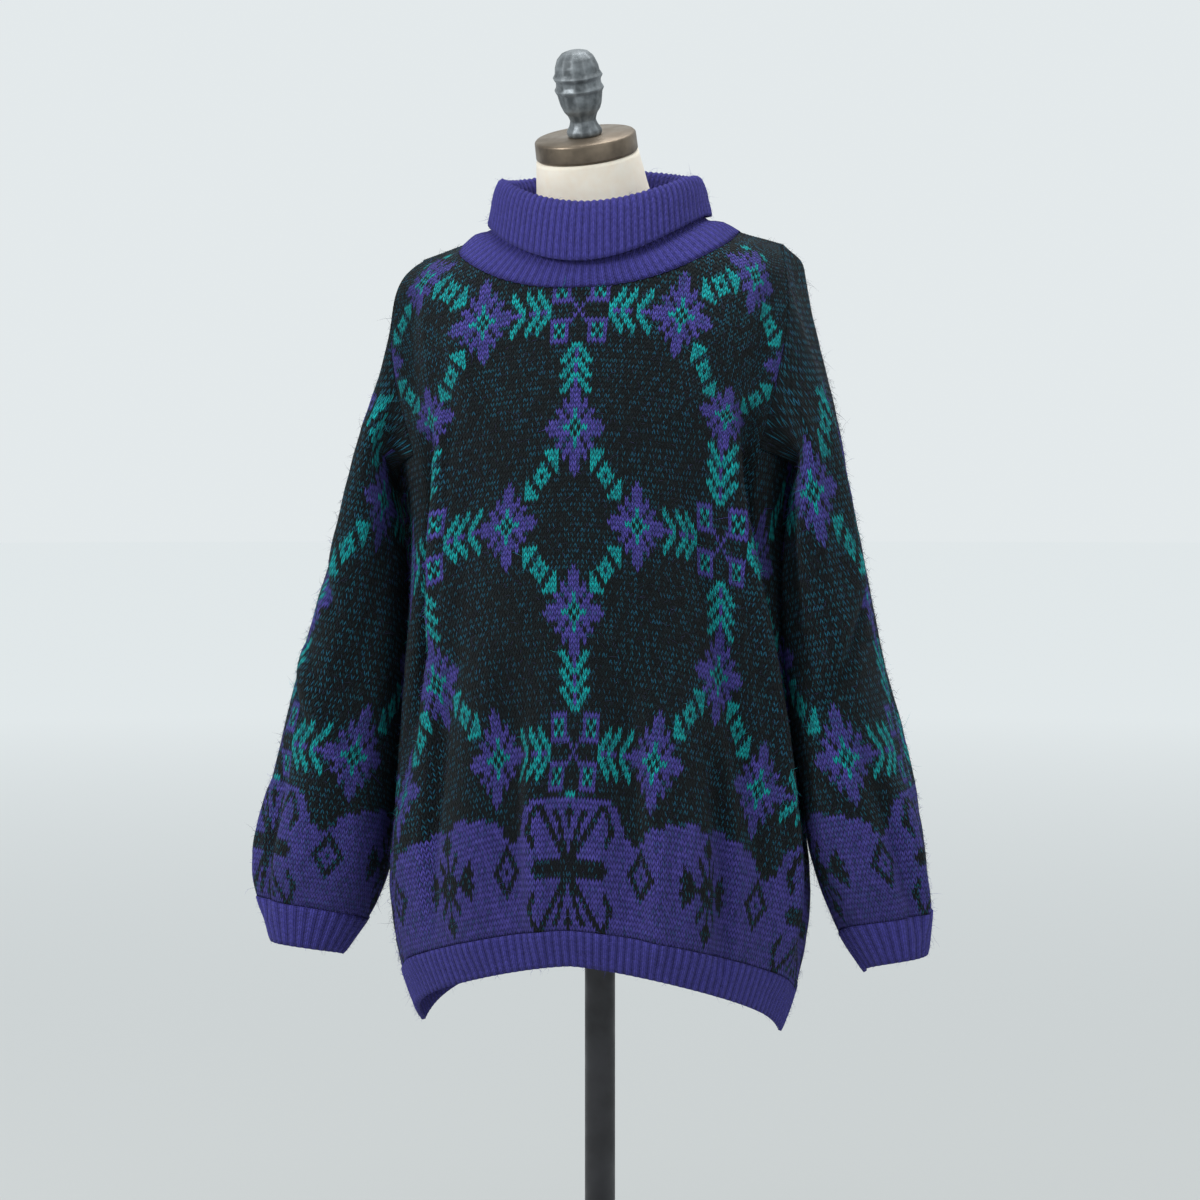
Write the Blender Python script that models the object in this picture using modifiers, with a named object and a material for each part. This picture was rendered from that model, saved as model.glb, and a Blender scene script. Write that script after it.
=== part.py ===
"""A knitted turtleneck sweater on a limbless dress form, at its real size.

Metres, +Z up. The form faces -Y, its axis is x = y = 0 and its base stands on z = 0.
A place on the knitting is given as (column, row) in stitches: column 0 is the middle
of a panel, and row 0 is the row through the top motif, so rows below it are negative.
Left and right are the viewer's, who looks along +Y.
"""

import math
from collections import namedtuple

import bpy
import numpy as np
from mathutils import Vector

COLLECTION = "turtleneck_sweater_on_form"

# Cloth
WALL = 0.0032  # thickness of the fuzzy two-colour knit
RIB_WALL = 0.0034
RIB_RELIEF = 0.0013  # a rib stands this much proud of its wall
SEAM_INSET = 0.0003  # each piece stops this far short of its seam
LEAST_LEAN = 0.8  # keeps a wall from growing too thick where it bends sharply
LEAST_REACH = 0.5  # keeps a sharp corner of a piece from drawing in too far

# The knitted rows and columns at which a panel changes
SIDE_COLUMN = 74  # side seam
ARMHOLE_COLUMN = 50  # straight edge of the armhole
NECK_COLUMN = 38  # where the shoulder seam meets the collar
SHOULDER_ROW = 28
UNDERARM_ROW = -22
NECK_DIP = {"front": 23, "back": 9}  # rows from the shoulder seam down to the collar
BODY_SAG_POWER = 1.5  # how a knitted row sinks from the middle towards the side
BODY_ROUNDNESS = 2.25  # 2 is an ellipse, more is squarer
FOLD_FADE_POWER = 0.6  # how fast a fold fades out at its ends: less is more sudden
SIDE_FADE_POWER = 10  # keeps folds off the side seams, where front and back must meet
CURVE_POINTS = 361  # points that a round outline is measured with

CAP_START_ROW = -25  # where the sleeve's rounded head begins
CAP_TOP_ROW = 7
CAP_SIDE_ROW = -23
CAP_SHARE = 0.75  # turn at which the sleeve's head has come down to its side row
CAP_BULGE = (-0.020, 0.010)  # how the sleeve's head rounds out over the shoulder: x, z
UNDERARM_ARCH = (0.010, 0.016)  # and how it arches over the underarm: x, z
SLEEVE_SAG_POWER = 2.2
SLEEVE_ROUNDNESS = 2.2

# Where the walls have their points
HALF_COLUMNS = [0, 4, 8, 12, 17, 21, 25, 30, 34, 38, 42, 46, 50, 53, 57, 60, 64, 67, 71, 74]
UPPER_ROWS = [-22, -14, -6, 2, 11, 20, 28]
LOWER_ROWS = {
    "front": [-109, -101, -93, -85, -77, -69, -61, -53, -45, -37, -29, -22],
    "back": [-109, -98, -87, -75, -63, -52, -41, -31, -22],
}
CAP_SHARES = [1.0, 0.8, 0.6, 0.4, 0.2]
SLEEVE_ROWS = [-25, -33, -41, -49, -57, -65, -73, -81, -89, -97, -103, -109]
HEM_RIB_ROWS = [-112.5, -116]
CUFF_RIB_ROWS = [-112.5, -116]
RIB_STEPS = 4  # rib points in each coarse column of the hem: two ribs
COLLAR_COARSE = 46
COLLAR_STEPS = 4  # two of the collar's 92 ribs in each coarse column
CUFF_COARSE = 15
CUFF_STEPS = 4  # two of the cuff's 30 ribs

# One knitted row round the body: heights at its side and its two middles, half the width,
# and the depths in front of and behind the axis. `roll` lifts the viewer's right.
Level = namedtuple("Level", "row side_z front_z back_z half_width front back roll")
BODY = [
    Level(-116, 0.562, 0.652, 0.622, 0.191, 0.168, 0.160, 0.00),
    Level(-109, 0.606, 0.690, 0.662, 0.206, 0.182, 0.172, 0.00),
    Level(-103, 0.642, 0.725, 0.697, 0.214, 0.185, 0.175, 0.00),
    Level(-95, 0.690, 0.775, 0.745, 0.220, 0.186, 0.176, 0.00),
    Level(-80, 0.783, 0.866, 0.836, 0.214, 0.182, 0.172, 0.00),
    Level(-57, 0.922, 1.005, 0.975, 0.203, 0.174, 0.160, 0.00),
    Level(-40, 1.026, 1.097, 1.074, 0.197, 0.166, 0.152, 0.00),
    Level(-30, 1.094, 1.147, 1.130, 0.198, 0.160, 0.146, 0.01),
    Level(-22, 1.146, 1.194, 1.180, 0.209, 0.152, 0.140, 0.02),
    Level(-10, 1.206, 1.256, 1.246, 0.237, 0.136, 0.134, 0.03),
    Level(0, 1.258, 1.307, 1.300, 0.257, 0.120, 0.124, 0.03),
    Level(14, 1.318, 1.380, 1.374, 0.273, 0.076, 0.098, 0.03),
    Level(22, 1.333, 1.406, 1.400, 0.278, 0.034, 0.070, 0.03),
    Level(28, 1.340, 1.420, 1.420, 0.281, -0.012, 0.012, 0.03),
]

# A soft fold of a panel between two places: a ridge (height > 0) or a trough.
Fold = namedtuple("Fold", "panel top_column top_row low_column low_row half_width height")
FOLDS = [
    Fold("front", 34, -12, 60, -112, 11, 0.016),
    Fold("front", 47, -22, 70, -104, 9, -0.018),
    Fold("front", -34, -22, -38, -74, 8, 0.010),
    Fold("front", -43, -24, -47, -84, 8, -0.013),
    Fold("front", -42, -60, -48, -112, 9, 0.009),
    Fold("front", -13, -62, -13, -114, 8, -0.010),
    Fold("front", -23, -58, -26, -114, 8, 0.009),
    Fold("front", 13, -62, 14, -114, 8, -0.009),
    Fold("front", 25, -64, 29, -114, 9, 0.008),
    Fold("back", -30, -14, -40, -112, 12, 0.014),
    Fold("back", -48, -30, -56, -106, 9, -0.015),
    Fold("back", 28, -10, 34, -112, 12, 0.013),
    Fold("back", 46, -24, 52, -110, 9, -0.015),
    Fold("back", -12, -50, -14, -112, 9, -0.010),
    Fold("back", 8, -66, 10, -112, 9, 0.009),
]

# One knitted row round a sleeve. x is the distance from the form's axis. A sleeve's inner
# half hangs flatter than its outer one, beside the body.
Ring = namedtuple("Ring", "row outer_x outer_z inner_x inner_z middle_y half_depth inner_roundness")
SLEEVES = {
    "right": [
        Ring(-116, 0.343, 0.646, 0.280, 0.626, 0.004, 0.034, 2.2),
        Ring(-109, 0.347, 0.692, 0.254, 0.666, 0.004, 0.052, 2.4),
        Ring(-103, 0.343, 0.727, 0.240, 0.698, 0.002, 0.066, 2.7),
        Ring(-95, 0.3375, 0.775, 0.227, 0.740, 0.000, 0.076, 4.0),
        Ring(-80, 0.316, 0.862, 0.219, 0.820, 0.000, 0.086, 4.6),
        Ring(-57, 0.287, 0.996, 0.207, 0.950, 0.000, 0.094, 4.6),
        Ring(-40, 0.266, 1.100, 0.2065, 1.046, 0.000, 0.098, 4.2),
        Ring(-25, 0.248, 1.190, 0.215, 1.122, 0.000, 0.100, 2.3),
    ],
    "left": [
        Ring(-116, 0.358, 0.644, 0.282, 0.630, 0.004, 0.034, 2.2),
        Ring(-109, 0.369, 0.692, 0.255, 0.668, 0.004, 0.050, 2.4),
        Ring(-103, 0.369, 0.728, 0.239, 0.699, 0.002, 0.066, 2.7),
        Ring(-95, 0.361, 0.776, 0.228, 0.741, 0.000, 0.076, 3.0),
        Ring(-80, 0.340, 0.863, 0.219, 0.821, 0.000, 0.086, 3.0),
        Ring(-57, 0.302, 0.997, 0.207, 0.951, 0.000, 0.094, 3.0),
        Ring(-40, 0.266, 1.101, 0.2065, 1.047, 0.000, 0.096, 2.7),
        Ring(-25, 0.235, 1.190, 0.215, 1.122, 0.000, 0.098, 2.1),
    ],
}
SIDE_SIGN = {"left": -1, "right": 1}

# A soft fold of a sleeve. A turn is a place round it: 0 is its outer edge, 0.5 its front,
# -0.5 its back, and 1 and -1 are both its inner seam.
SleeveFold = namedtuple("SleeveFold", "side top_turn top_row low_turn low_row half_width height")
SLEEVE_FOLDS = [
    SleeveFold("right", 0.34, -10, 0.20, -60, 0.16, 0.010),
    SleeveFold("right", 0.66, -32, 0.56, -84, 0.15, -0.009),
    SleeveFold("right", 0.62, -62, 0.44, -106, 0.16, 0.008),
    SleeveFold("right", -0.66, -32, -0.50, -86, 0.16, -0.009),
    SleeveFold("left", 0.44, -10, 0.36, -58, 0.16, 0.008),
    SleeveFold("left", 0.66, -34, 0.54, -86, 0.15, -0.009),
    SleeveFold("left", 0.58, -66, 0.42, -106, 0.16, 0.009),
    SleeveFold("left", -0.64, -34, -0.52, -88, 0.16, -0.009),
]

# The collar's cross-section, followed from near the neck seam up, over and down again.
Hoop = namedtuple("Hoop", "half_width front back front_z side_z back_z roll")
COLLAR = [
    Hoop(0.1300, 0.1060, 0.0860, 1.3460, 1.3980, 1.4080, 0.035),
    Hoop(0.1125, 0.0960, 0.0830, 1.3620, 1.4020, 1.4170, 0.030),
    Hoop(0.1000, 0.0870, 0.0780, 1.3830, 1.4200, 1.4350, 0.010),
    Hoop(0.0955, 0.0840, 0.0760, 1.4090, 1.4400, 1.4560, 0.000),
    Hoop(0.1025, 0.0900, 0.0830, 1.4195, 1.4510, 1.4660, 0.000),
    Hoop(0.1085, 0.0970, 0.0895, 1.4090, 1.4400, 1.4560, 0.004),
    Hoop(0.1120, 0.1040, 0.0925, 1.3840, 1.4240, 1.4350, 0.018),
    Hoop(0.1155, 0.1085, 0.0945, 1.3600, 1.4080, 1.4200, 0.032),
]
COLLAR_BASE_HOOPS = 1  # hoops whose outer face shows below the fold
COLLAR_RIM_HOOP = 4  # from this hoop on the fold's face shows

# The dress form: outlines from its flat underside to the neck. `tilt` lowers the front.
Outline = namedtuple("Outline", "z half_width front back shift_x shift_y tilt roll")
FORM = [
    Outline(0.7000, 0.150, 0.098, 0.104, 0.000, 0.000, 0.00, 0.00),
    Outline(0.7100, 0.160, 0.106, 0.113, 0.000, 0.000, 0.00, 0.00),
    Outline(0.7800, 0.171, 0.112, 0.124, 0.000, 0.000, 0.00, 0.00),
    Outline(0.8600, 0.170, 0.112, 0.122, 0.000, 0.000, 0.00, 0.00),
    Outline(0.9400, 0.150, 0.104, 0.104, 0.000, 0.000, 0.00, 0.00),
    Outline(1.0200, 0.126, 0.094, 0.086, 0.000, 0.000, 0.00, 0.00),
    Outline(1.0900, 0.134, 0.106, 0.092, 0.000, 0.000, 0.00, 0.00),
    Outline(1.1500, 0.150, 0.126, 0.104, 0.000, 0.000, 0.00, 0.00),
    Outline(1.2000, 0.162, 0.128, 0.112, 0.000, 0.000, 0.00, 0.01),
    Outline(1.2500, 0.172, 0.108, 0.114, 0.000, 0.000, 0.00, 0.02),
    Outline(1.3000, 0.178, 0.084, 0.106, 0.000, 0.000, 0.00, 0.03),
    Outline(1.3350, 0.181, 0.062, 0.086, 0.000, 0.004, 0.00, 0.03),
    Outline(1.3621, 0.177, 0.042, 0.062, 0.000, 0.008, 0.00, 0.03),
    Outline(1.3791, 0.162, 0.030, 0.044, 0.000, 0.009, 0.00, 0.03),
    Outline(1.3878, 0.138, 0.034, 0.042, 0.000, 0.006, 0.00, 0.03),
    Outline(1.3966, 0.100, 0.044, 0.048, -0.001, 0.002, 0.02, 0.03),
    Outline(1.4120, 0.069, 0.052, 0.054, -0.003, -0.002, 0.06, 0.04),
    Outline(1.4340, 0.060, 0.052, 0.054, -0.006, -0.005, 0.15, 0.05),
    Outline(1.4570, 0.056, 0.051, 0.053, -0.009, -0.009, 0.26, 0.06),
    Outline(1.4755, 0.0530, 0.050, 0.051, -0.011, -0.013, 0.33, 0.07),
]
FORM_SIDES = 36
FORM_ROUNDNESS = 2.1
FIT_GAP = 0.0003  # between pieces that stand on each other

# Turned shapes, as (radius, height) from the bottom up
CAP_PROFILE = [(0.0508, 0.0), (0.0534, 0.0020), (0.0530, 0.0190), (0.0510, 0.0210)]
FINIAL_SIDES = 12
FINIAL_PROFILE = [
    (0.0172, 0.0000), (0.0188, 0.0022), (0.0186, 0.0056), (0.0154, 0.0104), (0.0136, 0.0156),
    (0.0146, 0.0192), (0.0160, 0.0226), (0.0196, 0.0272), (0.0218, 0.0330), (0.0230, 0.0388),
    (0.0240, 0.0446), (0.0264, 0.0486), (0.0240, 0.0524), (0.0236, 0.0572), (0.0266, 0.0618),
    (0.0238, 0.0656), (0.0228, 0.0724), (0.0196, 0.0806), (0.0136, 0.0866), (0.0070, 0.0884),
]
POLE_RADIUS = 0.016
FLANGE_RADIUS = 0.070
FLANGE_HEIGHT = 0.016
BASE_PROFILE = [
    (0.2050, 0.0000), (0.2100, 0.0040), (0.2100, 0.0120), (0.2020, 0.0170), (0.0800, 0.0240),
    (0.0380, 0.0310), (0.0290, 0.0430), (0.0270, 0.0700), (0.0245, 0.0740),
]

Paint = namedtuple("Paint", "colour roughness metallic")
PAINTS = {
    "knit_ground": Paint((0.016, 0.036, 0.038), 0.95, 0.0),
    "knit_violet": Paint((0.085, 0.060, 0.330), 0.95, 0.0),
    "form_linen": Paint((0.800, 0.740, 0.640), 0.90, 0.0),
    "cap_bronze": Paint((0.230, 0.200, 0.170), 0.45, 0.8),
    "cast_metal": Paint((0.270, 0.290, 0.290), 0.50, 0.8),
    "stand_metal": Paint((0.060, 0.060, 0.062), 0.45, 0.7),
}


# --- curves through tables and polylines -------------------------------------------------


def smooth(knots, values, places):
    """Read a smooth curve, which passes through the values at the knots, at some places."""
    knots = np.asarray(knots, float)
    values = np.asarray(values, float)
    places = np.clip(np.asarray(places, float), knots[0], knots[-1])
    more_axes = (1,) * (values.ndim - 1)
    steps = np.diff(knots)
    slopes = np.diff(values, axis=0) / steps.reshape((-1,) + more_axes)
    before = steps[:-1].reshape((-1,) + more_axes)
    after = steps[1:].reshape((-1,) + more_axes)
    inner = (slopes[:-1] * after + slopes[1:] * before) / (before + after)
    tangents = np.concatenate([slopes[:1], inner, slopes[-1:]])
    span = np.clip(np.searchsorted(knots, places, side="right") - 1, 0, len(steps) - 1)
    width = steps[span].reshape(places.shape + more_axes)
    t = ((places - knots[span]) / steps[span]).reshape(width.shape)
    return (
        values[span] * (2 * t**3 - 3 * t**2 + 1)
        + values[span + 1] * (3 * t**2 - 2 * t**3)
        + tangents[span] * width * (t**3 - 2 * t**2 + t)
        + tangents[span + 1] * width * (t**3 - t**2)
    )


def table_at(table, place):
    """A table's columns at a place between its rows. Its first column holds the places."""
    return type(table[0])(*smooth([line[0] for line in table], table, [place])[0])


def lengths_along(points):
    steps = np.linalg.norm(np.diff(points, axis=0), axis=1)
    return np.concatenate([[0.0], np.cumsum(steps)])


def along_line(points, lengths, places):
    """Points at some lengths along a polyline."""
    return np.stack([np.interp(places, lengths, column) for column in points.T], axis=1)


def round_shape(degrees, roundness):
    """(sine, cosine) of a squared-off circle."""
    angle = np.radians(degrees)
    waves = np.stack([np.sin(angle), np.cos(angle)])
    return np.sign(waves) * np.abs(waves) ** (2 / roundness)


def fold_heights(folds, places, row):
    """How far some folds push the knitting out, at places along one of its rows."""
    height = np.zeros(len(places))
    for _, top_place, top_row, low_place, low_row, half_width, fold_height in folds:
        share = (top_row - row) / (top_row - low_row)
        if not 0 < share < 1:
            continue
        middle = top_place + share * (low_place - top_place)
        distance = np.clip((places - middle) / half_width, -1, 1)
        fade = math.sin(math.pi * share) ** FOLD_FADE_POWER
        height += fold_height * fade * (0.5 + 0.5 * np.cos(np.pi * distance))
    return height


def pushed(plan, outward, heights):
    """A flat curve whose points move out, square to it."""
    along = np.gradient(plan, axis=0)
    facing = np.stack([along[:, 1], -along[:, 0]], axis=1) * outward
    facing /= np.linalg.norm(facing, axis=1)[:, None]
    return plan + facing * heights[:, None]


# --- the knitted surfaces ----------------------------------------------------------------


def body_row(panel, columns, row):
    """Points of one knitted row of the front or back at the given columns."""
    level = table_at(BODY, row)
    depth = -level.front if panel == "front" else level.back
    across, out = round_shape(np.linspace(-90, 90, CURVE_POINTS), BODY_ROUNDNESS)
    plan = np.stack([level.half_width * across, depth * out], axis=1)
    length = lengths_along(plan)
    place = (2 * length / length[-1] - 1) * SIDE_COLUMN
    heights = fold_heights([fold for fold in FOLDS if fold.panel == panel], place, row)
    heights *= 1 - (np.abs(place) / SIDE_COLUMN) ** SIDE_FADE_POWER
    plan = pushed(plan, 1 if panel == "front" else -1, heights)
    length = lengths_along(plan)
    share = np.asarray(columns, float) / SIDE_COLUMN
    x, y = along_line(plan, length, (share + 1) / 2 * length[-1]).T
    middle_z = level.front_z if panel == "front" else level.back_z
    sag = np.abs(share) ** BODY_SAG_POWER
    return np.stack([x, y, middle_z + (level.side_z - middle_z) * sag + level.roll * x], axis=1)


def neck_row(panel, column):
    """The row at which a column of the front or back meets the collar."""
    inside = max(0.0, 1 - (column / NECK_COLUMN) ** 2)
    return SHOULDER_ROW - NECK_DIP[panel] * math.sqrt(inside)


def half_armhole(panel, side):
    """Its edge on one panel, from the shoulder down to the corner and in to the side seam."""
    sign = SIDE_SIGN[side]
    rows = range(SHOULDER_ROW, UNDERARM_ROW, -1)
    edge = [body_row(panel, [sign * ARMHOLE_COLUMN], row)[0] for row in rows]
    columns = np.arange(ARMHOLE_COLUMN, SIDE_COLUMN + 1) * sign
    return np.concatenate([edge, body_row(panel, columns, UNDERARM_ROW)])


def armhole_turns(side):
    """Turns at which the walls' points lie round the armhole, from -1 to 1."""
    stops = [SHOULDER_ROW - row for row in reversed(UPPER_ROWS)]
    corner = stops[-1]
    stops += [corner + column - ARMHOLE_COLUMN for column in HALF_COLUMNS if column > ARMHOLE_COLUMN]
    shares = {}
    for panel in ("front", "back"):
        lengths = lengths_along(half_armhole(panel, side))
        shares[panel] = lengths[stops] / lengths[-1]
    return np.concatenate([-shares["back"][::-1], shares["front"][1:]])


def armhole_points(side, turns):
    front = half_armhole("front", side)
    back = half_armhole("back", side)
    edge = np.concatenate([back[::-1], front[1:]])
    lengths = lengths_along(edge)
    back_length = lengths_along(back)[-1]
    reach = np.where(turns < 0, back_length, lengths[-1] - back_length)
    return along_line(edge, lengths, back_length + turns * reach)


def sleeve_ring(side, turns, row):
    """Points of one knitted row of a sleeve, below its head."""
    ring = table_at(SLEEVES[side], row)
    degrees = np.linspace(-180, 180, CURVE_POINTS)
    roundness = np.where(np.abs(degrees) > 90, ring.inner_roundness, SLEEVE_ROUNDNESS)
    across, out = round_shape(degrees, roundness)
    middle_x = (ring.outer_x + ring.inner_x) / 2
    half_x = (ring.outer_x - ring.inner_x) / 2
    plan = np.stack([middle_x + half_x * out, ring.middle_y - ring.half_depth * across], axis=1)
    length = lengths_along(plan)
    folds = [fold for fold in SLEEVE_FOLDS if fold.side == side]
    heights = fold_heights(folds, 2 * length / length[-1] - 1, row)
    plan = pushed(plan, -1, heights)
    length = lengths_along(plan)
    x, y = along_line(plan, length, (turns + 1) / 2 * length[-1]).T
    z = ring.outer_z + (ring.inner_z - ring.outer_z) * np.abs(turns) ** SLEEVE_SAG_POWER
    return np.stack([x * SIDE_SIGN[side], y, z], axis=1)


def sleeve_head(side, turns, share):
    """Points between the sleeve's last full row (share 0) and the armhole (share 1)."""
    start = sleeve_ring(side, turns, CAP_START_ROW)
    end = armhole_points(side, turns)
    rows = cap_row(turns) - CAP_START_ROW
    rise = (start - sleeve_ring(side, turns, CAP_START_ROW - 1)) * rows[:, None]
    near_top = cap_nearness(turns)
    near_seam = np.clip((np.abs(turns) - CAP_SHARE) / (1 - CAP_SHARE), 0, 1)
    arch_x, arch_z = np.outer(CAP_BULGE, near_top) + np.outer(UNDERARM_ARCH, near_seam)
    arrive = end - start - np.stack([SIDE_SIGN[side] * arch_x, 0 * turns, arch_z], axis=1)
    t = share
    return (
        start * (2 * t**3 - 3 * t**2 + 1)
        + end * (3 * t**2 - 2 * t**3)
        + rise * (t**3 - 2 * t**2 + t)
        + arrive * (t**3 - t**2)
    )


def cap_nearness(turns):
    """1 at the top of the sleeve's head, falling smoothly to 0 at its side."""
    return np.cos(np.clip(turns / CAP_SHARE, -1, 1) * math.pi / 2) ** 2


def cap_row(turns):
    """The sleeve's top row at some turns: high on the shoulder, low at the underarm."""
    return CAP_SIDE_ROW + (CAP_TOP_ROW - CAP_SIDE_ROW) * cap_nearness(turns)


# --- walls of the plain panels -----------------------------------------------------------


class Sheet:
    """An open surface of quads, before it is given its thickness."""

    def __init__(self):
        self.points = []
        self.faces = []

    def add_points(self, points):
        """Add a row of points and return their numbers."""
        first = len(self.points)
        self.points.extend(points)
        return list(range(first, len(self.points)))

    def join_rows(self, lower, upper):
        for k in range(len(upper) - 1):
            self.faces.append((lower[k], lower[k + 1], upper[k + 1], upper[k]))

    def turn_round(self):
        self.faces = [face[::-1] for face in self.faces]

    def border(self):
        """The edges that belong to one face only, in the direction of that face."""
        edges = {edge for face in self.faces for edge in zip(face, face[1:] + face[:1])}
        return sorted((a, b) for a, b in edges if (b, a) not in edges)

    def inset(self):
        """How far each point draws in from the seams that it lies on."""
        pulls = {}
        for a, b in self.border():
            inward = np.cross(self.normals[a] + self.normals[b], self.points[b] - self.points[a])
            inward /= np.linalg.norm(inward)
            pulls.setdefault(a, []).append(inward)
            pulls.setdefault(b, []).append(inward)
        moves = np.zeros_like(self.points)
        for corner, inwards in pulls.items():
            total = np.sum(inwards, axis=0)
            reach = max(LEAST_REACH, min(float(inward @ total) for inward in inwards))
            moves[corner] = total * SEAM_INSET / reach
        return moves


def panel_sheet(panel):
    """The front or back: full width below the underarm, narrower and necked above it."""
    sheet = Sheet()
    columns = np.array([-column for column in HALF_COLUMNS[:0:-1]] + HALF_COLUMNS)
    rows = [sheet.add_points(body_row(panel, columns, row)) for row in LOWER_ROWS[panel]]
    for lower, upper in zip(rows, rows[1:]):
        sheet.join_rows(lower, upper)
    kept = np.flatnonzero(np.abs(columns) <= ARMHOLE_COLUMN)
    columns = columns[kept]
    upper = [rows[-1][k] for k in kept]
    for level in UPPER_ROWS[1:]:
        share = (level - UNDERARM_ROW) / (SHOULDER_ROW - UNDERARM_ROW)
        tops = [neck_row(panel, column) for column in columns]
        levels = [UNDERARM_ROW + share * (top - UNDERARM_ROW) for top in tops]
        points = [body_row(panel, [column], row)[0] for column, row in zip(columns, levels)]
        lower, upper = upper, sheet.add_points(points)
        sheet.join_rows(lower, upper)
    if panel == "back":
        sheet.turn_round()
    sheet.foot = rows[0]
    sheet.neck = [number for number, column in zip(upper, columns) if abs(column) <= NECK_COLUMN]
    return sheet


def sleeve_sheet(side):
    """A sleeve as a tube of quads, from the armhole down to the cuff."""
    sheet = Sheet()
    turns = armhole_turns(side)[:-1]
    rings = [sleeve_head(side, turns, share) for share in CAP_SHARES]
    rings += [sleeve_ring(side, turns, row) for row in SLEEVE_ROWS]
    upper = None
    for ring in rings:
        lower = sheet.add_points(ring)
        if upper:
            sheet.join_rows(lower + lower[:1], upper + upper[:1])
        upper = lower
    if side == "right":
        sheet.turn_round()
    sheet.foot = upper
    return sheet


def share_normals(sheets):
    """Give each sheet its corner normals, averaged with the sheets that it meets."""
    facing = {}
    for sheet in sheets:
        sheet.points = np.array(sheet.points)
        sheet.keys = [tuple(point) for point in np.round(sheet.points, 5)]
        for face in sheet.faces:
            a, b, c, d = sheet.points[list(face)]
            normal = np.cross(c - a, d - b)
            normal /= np.linalg.norm(normal)
            for corner in face:
                facing.setdefault(sheet.keys[corner], []).append(normal)
    for sheet in sheets:
        sheet.normals = np.zeros_like(sheet.points)
        for corner, key in enumerate(sheet.keys):
            mean = np.sum(facing[key], axis=0)
            mean /= np.linalg.norm(mean)
            lean = max(LEAST_LEAN, float(np.mean(facing[key] @ mean)))
            sheet.normals[corner] = mean / lean


def build_sheet_wall(name, sheet, paint):
    """Give a sheet its thickness: an outer and an inner face, joined round the border."""
    middle = sheet.points + sheet.inset()
    half = sheet.normals * WALL / 2
    count = len(middle)
    faces = list(sheet.faces)
    faces += [tuple(corner + count for corner in face[::-1]) for face in sheet.faces]
    for a, b in sheet.border():
        # Both sheets at a seam split their facing edges along the same diagonal.
        if sheet.keys[a] < sheet.keys[b]:
            faces += [(b, a, b + count), (a, a + count, b + count)]
        else:
            faces += [(b, a, a + count), (b, a + count, b + count)]
    add_mesh(name, np.concatenate([middle + half, middle - half]), faces, paint)


# --- ribbed walls ------------------------------------------------------------------------


def loop_faces(first, count, other_first, other_count, closed):
    """Faces between two neighbouring loops. A finer loop fans onto a coarser one."""
    spans = (count, other_count) if closed else (count - 1, other_count - 1)
    parts = min(spans)
    steps = max(spans) // parts

    def near(k):
        return first + (k % count if closed else k)

    def far(k):
        return other_first + (k % other_count if closed else k)

    faces = []
    for part in range(parts):
        if steps == 1:
            faces.append((near(part), far(part), far(part + 1), near(part + 1)))
            continue
        middle = part * steps + steps // 2
        for step in range(part * steps, (part + 1) * steps):
            end = part if step < middle else part + 1
            if spans[0] > spans[1]:
                faces.append((near(step), far(end), near(step + 1)))
            else:
                faces.append((near(end), far(step), far(step + 1)))
        if spans[0] > spans[1]:
            faces.append((near(middle), far(part), far(part + 1)))
        else:
            faces.append((near(part), far(middle), near(part + 1)))
    return faces


def build_loop_wall(name, loops, closed, paint):
    """A wall from loops that follow its cross-section round; open ones are capped."""
    starts = np.cumsum([0] + [len(loop) for loop in loops]).tolist()
    faces = []
    for k, loop in enumerate(loops):
        other = (k + 1) % len(loops)
        faces += loop_faces(starts[k], len(loop), starts[other], len(loops[other]), closed)
    if not closed:
        faces.append(tuple(starts[:-1][::-1]))
        faces.append(tuple(start - 1 for start in starts[1:]))
    return add_mesh(name, np.concatenate(loops), faces, paint)


class Band:
    """A ribbed band that grows from a seam: fine rings and the half-thickness at each."""

    def __init__(self, seam, rings, turned):
        seam_ring, seam_half = seam[:, :3], seam[:, 3:]
        self.rings = [seam_ring] + rings
        self.halves = [seam_half]
        for k in range(1, len(self.rings)):
            ring = self.rings[k]
            ahead = self.rings[min(k + 1, len(rings))] - self.rings[k - 1]
            along = np.roll(ring, -1, axis=0) - np.roll(ring, 1, axis=0)
            normal = np.cross(along, ahead) * turned
            self.halves.append(normal / np.linalg.norm(normal, axis=1)[:, None] * RIB_WALL / 2)
        inset = self.rings[1] - seam_ring
        self.rings[0] = seam_ring + inset / np.linalg.norm(inset, axis=1)[:, None] * SEAM_INSET

    def plain(self, level, sign):
        return self.rings[level] + sign * self.halves[level]

    def ribbed(self, level, sign):
        half = self.halves[level]
        relief = half / np.linalg.norm(half, axis=1)[:, None] * RIB_RELIEF
        raised = (np.arange(len(half)) % 2)[:, None]
        return self.rings[level] + sign * (half + relief * raised)


def spread(coarse, places):
    """Points at some shares of the way round a closed polyline, and those shares' values."""
    closed = np.concatenate([coarse, coarse[:1]])
    lengths = lengths_along(closed[:, :3])
    return along_line(closed, lengths, places * lengths[-1])


def seam_line(parts):
    """A closed seam from the border points of sheets: places and half-thicknesses."""
    points = np.concatenate([sheet.points[numbers] for sheet, numbers in parts])
    halves = np.concatenate([sheet.normals[numbers] for sheet, numbers in parts]) * WALL / 2
    return np.concatenate([points, halves], axis=1)


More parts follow.
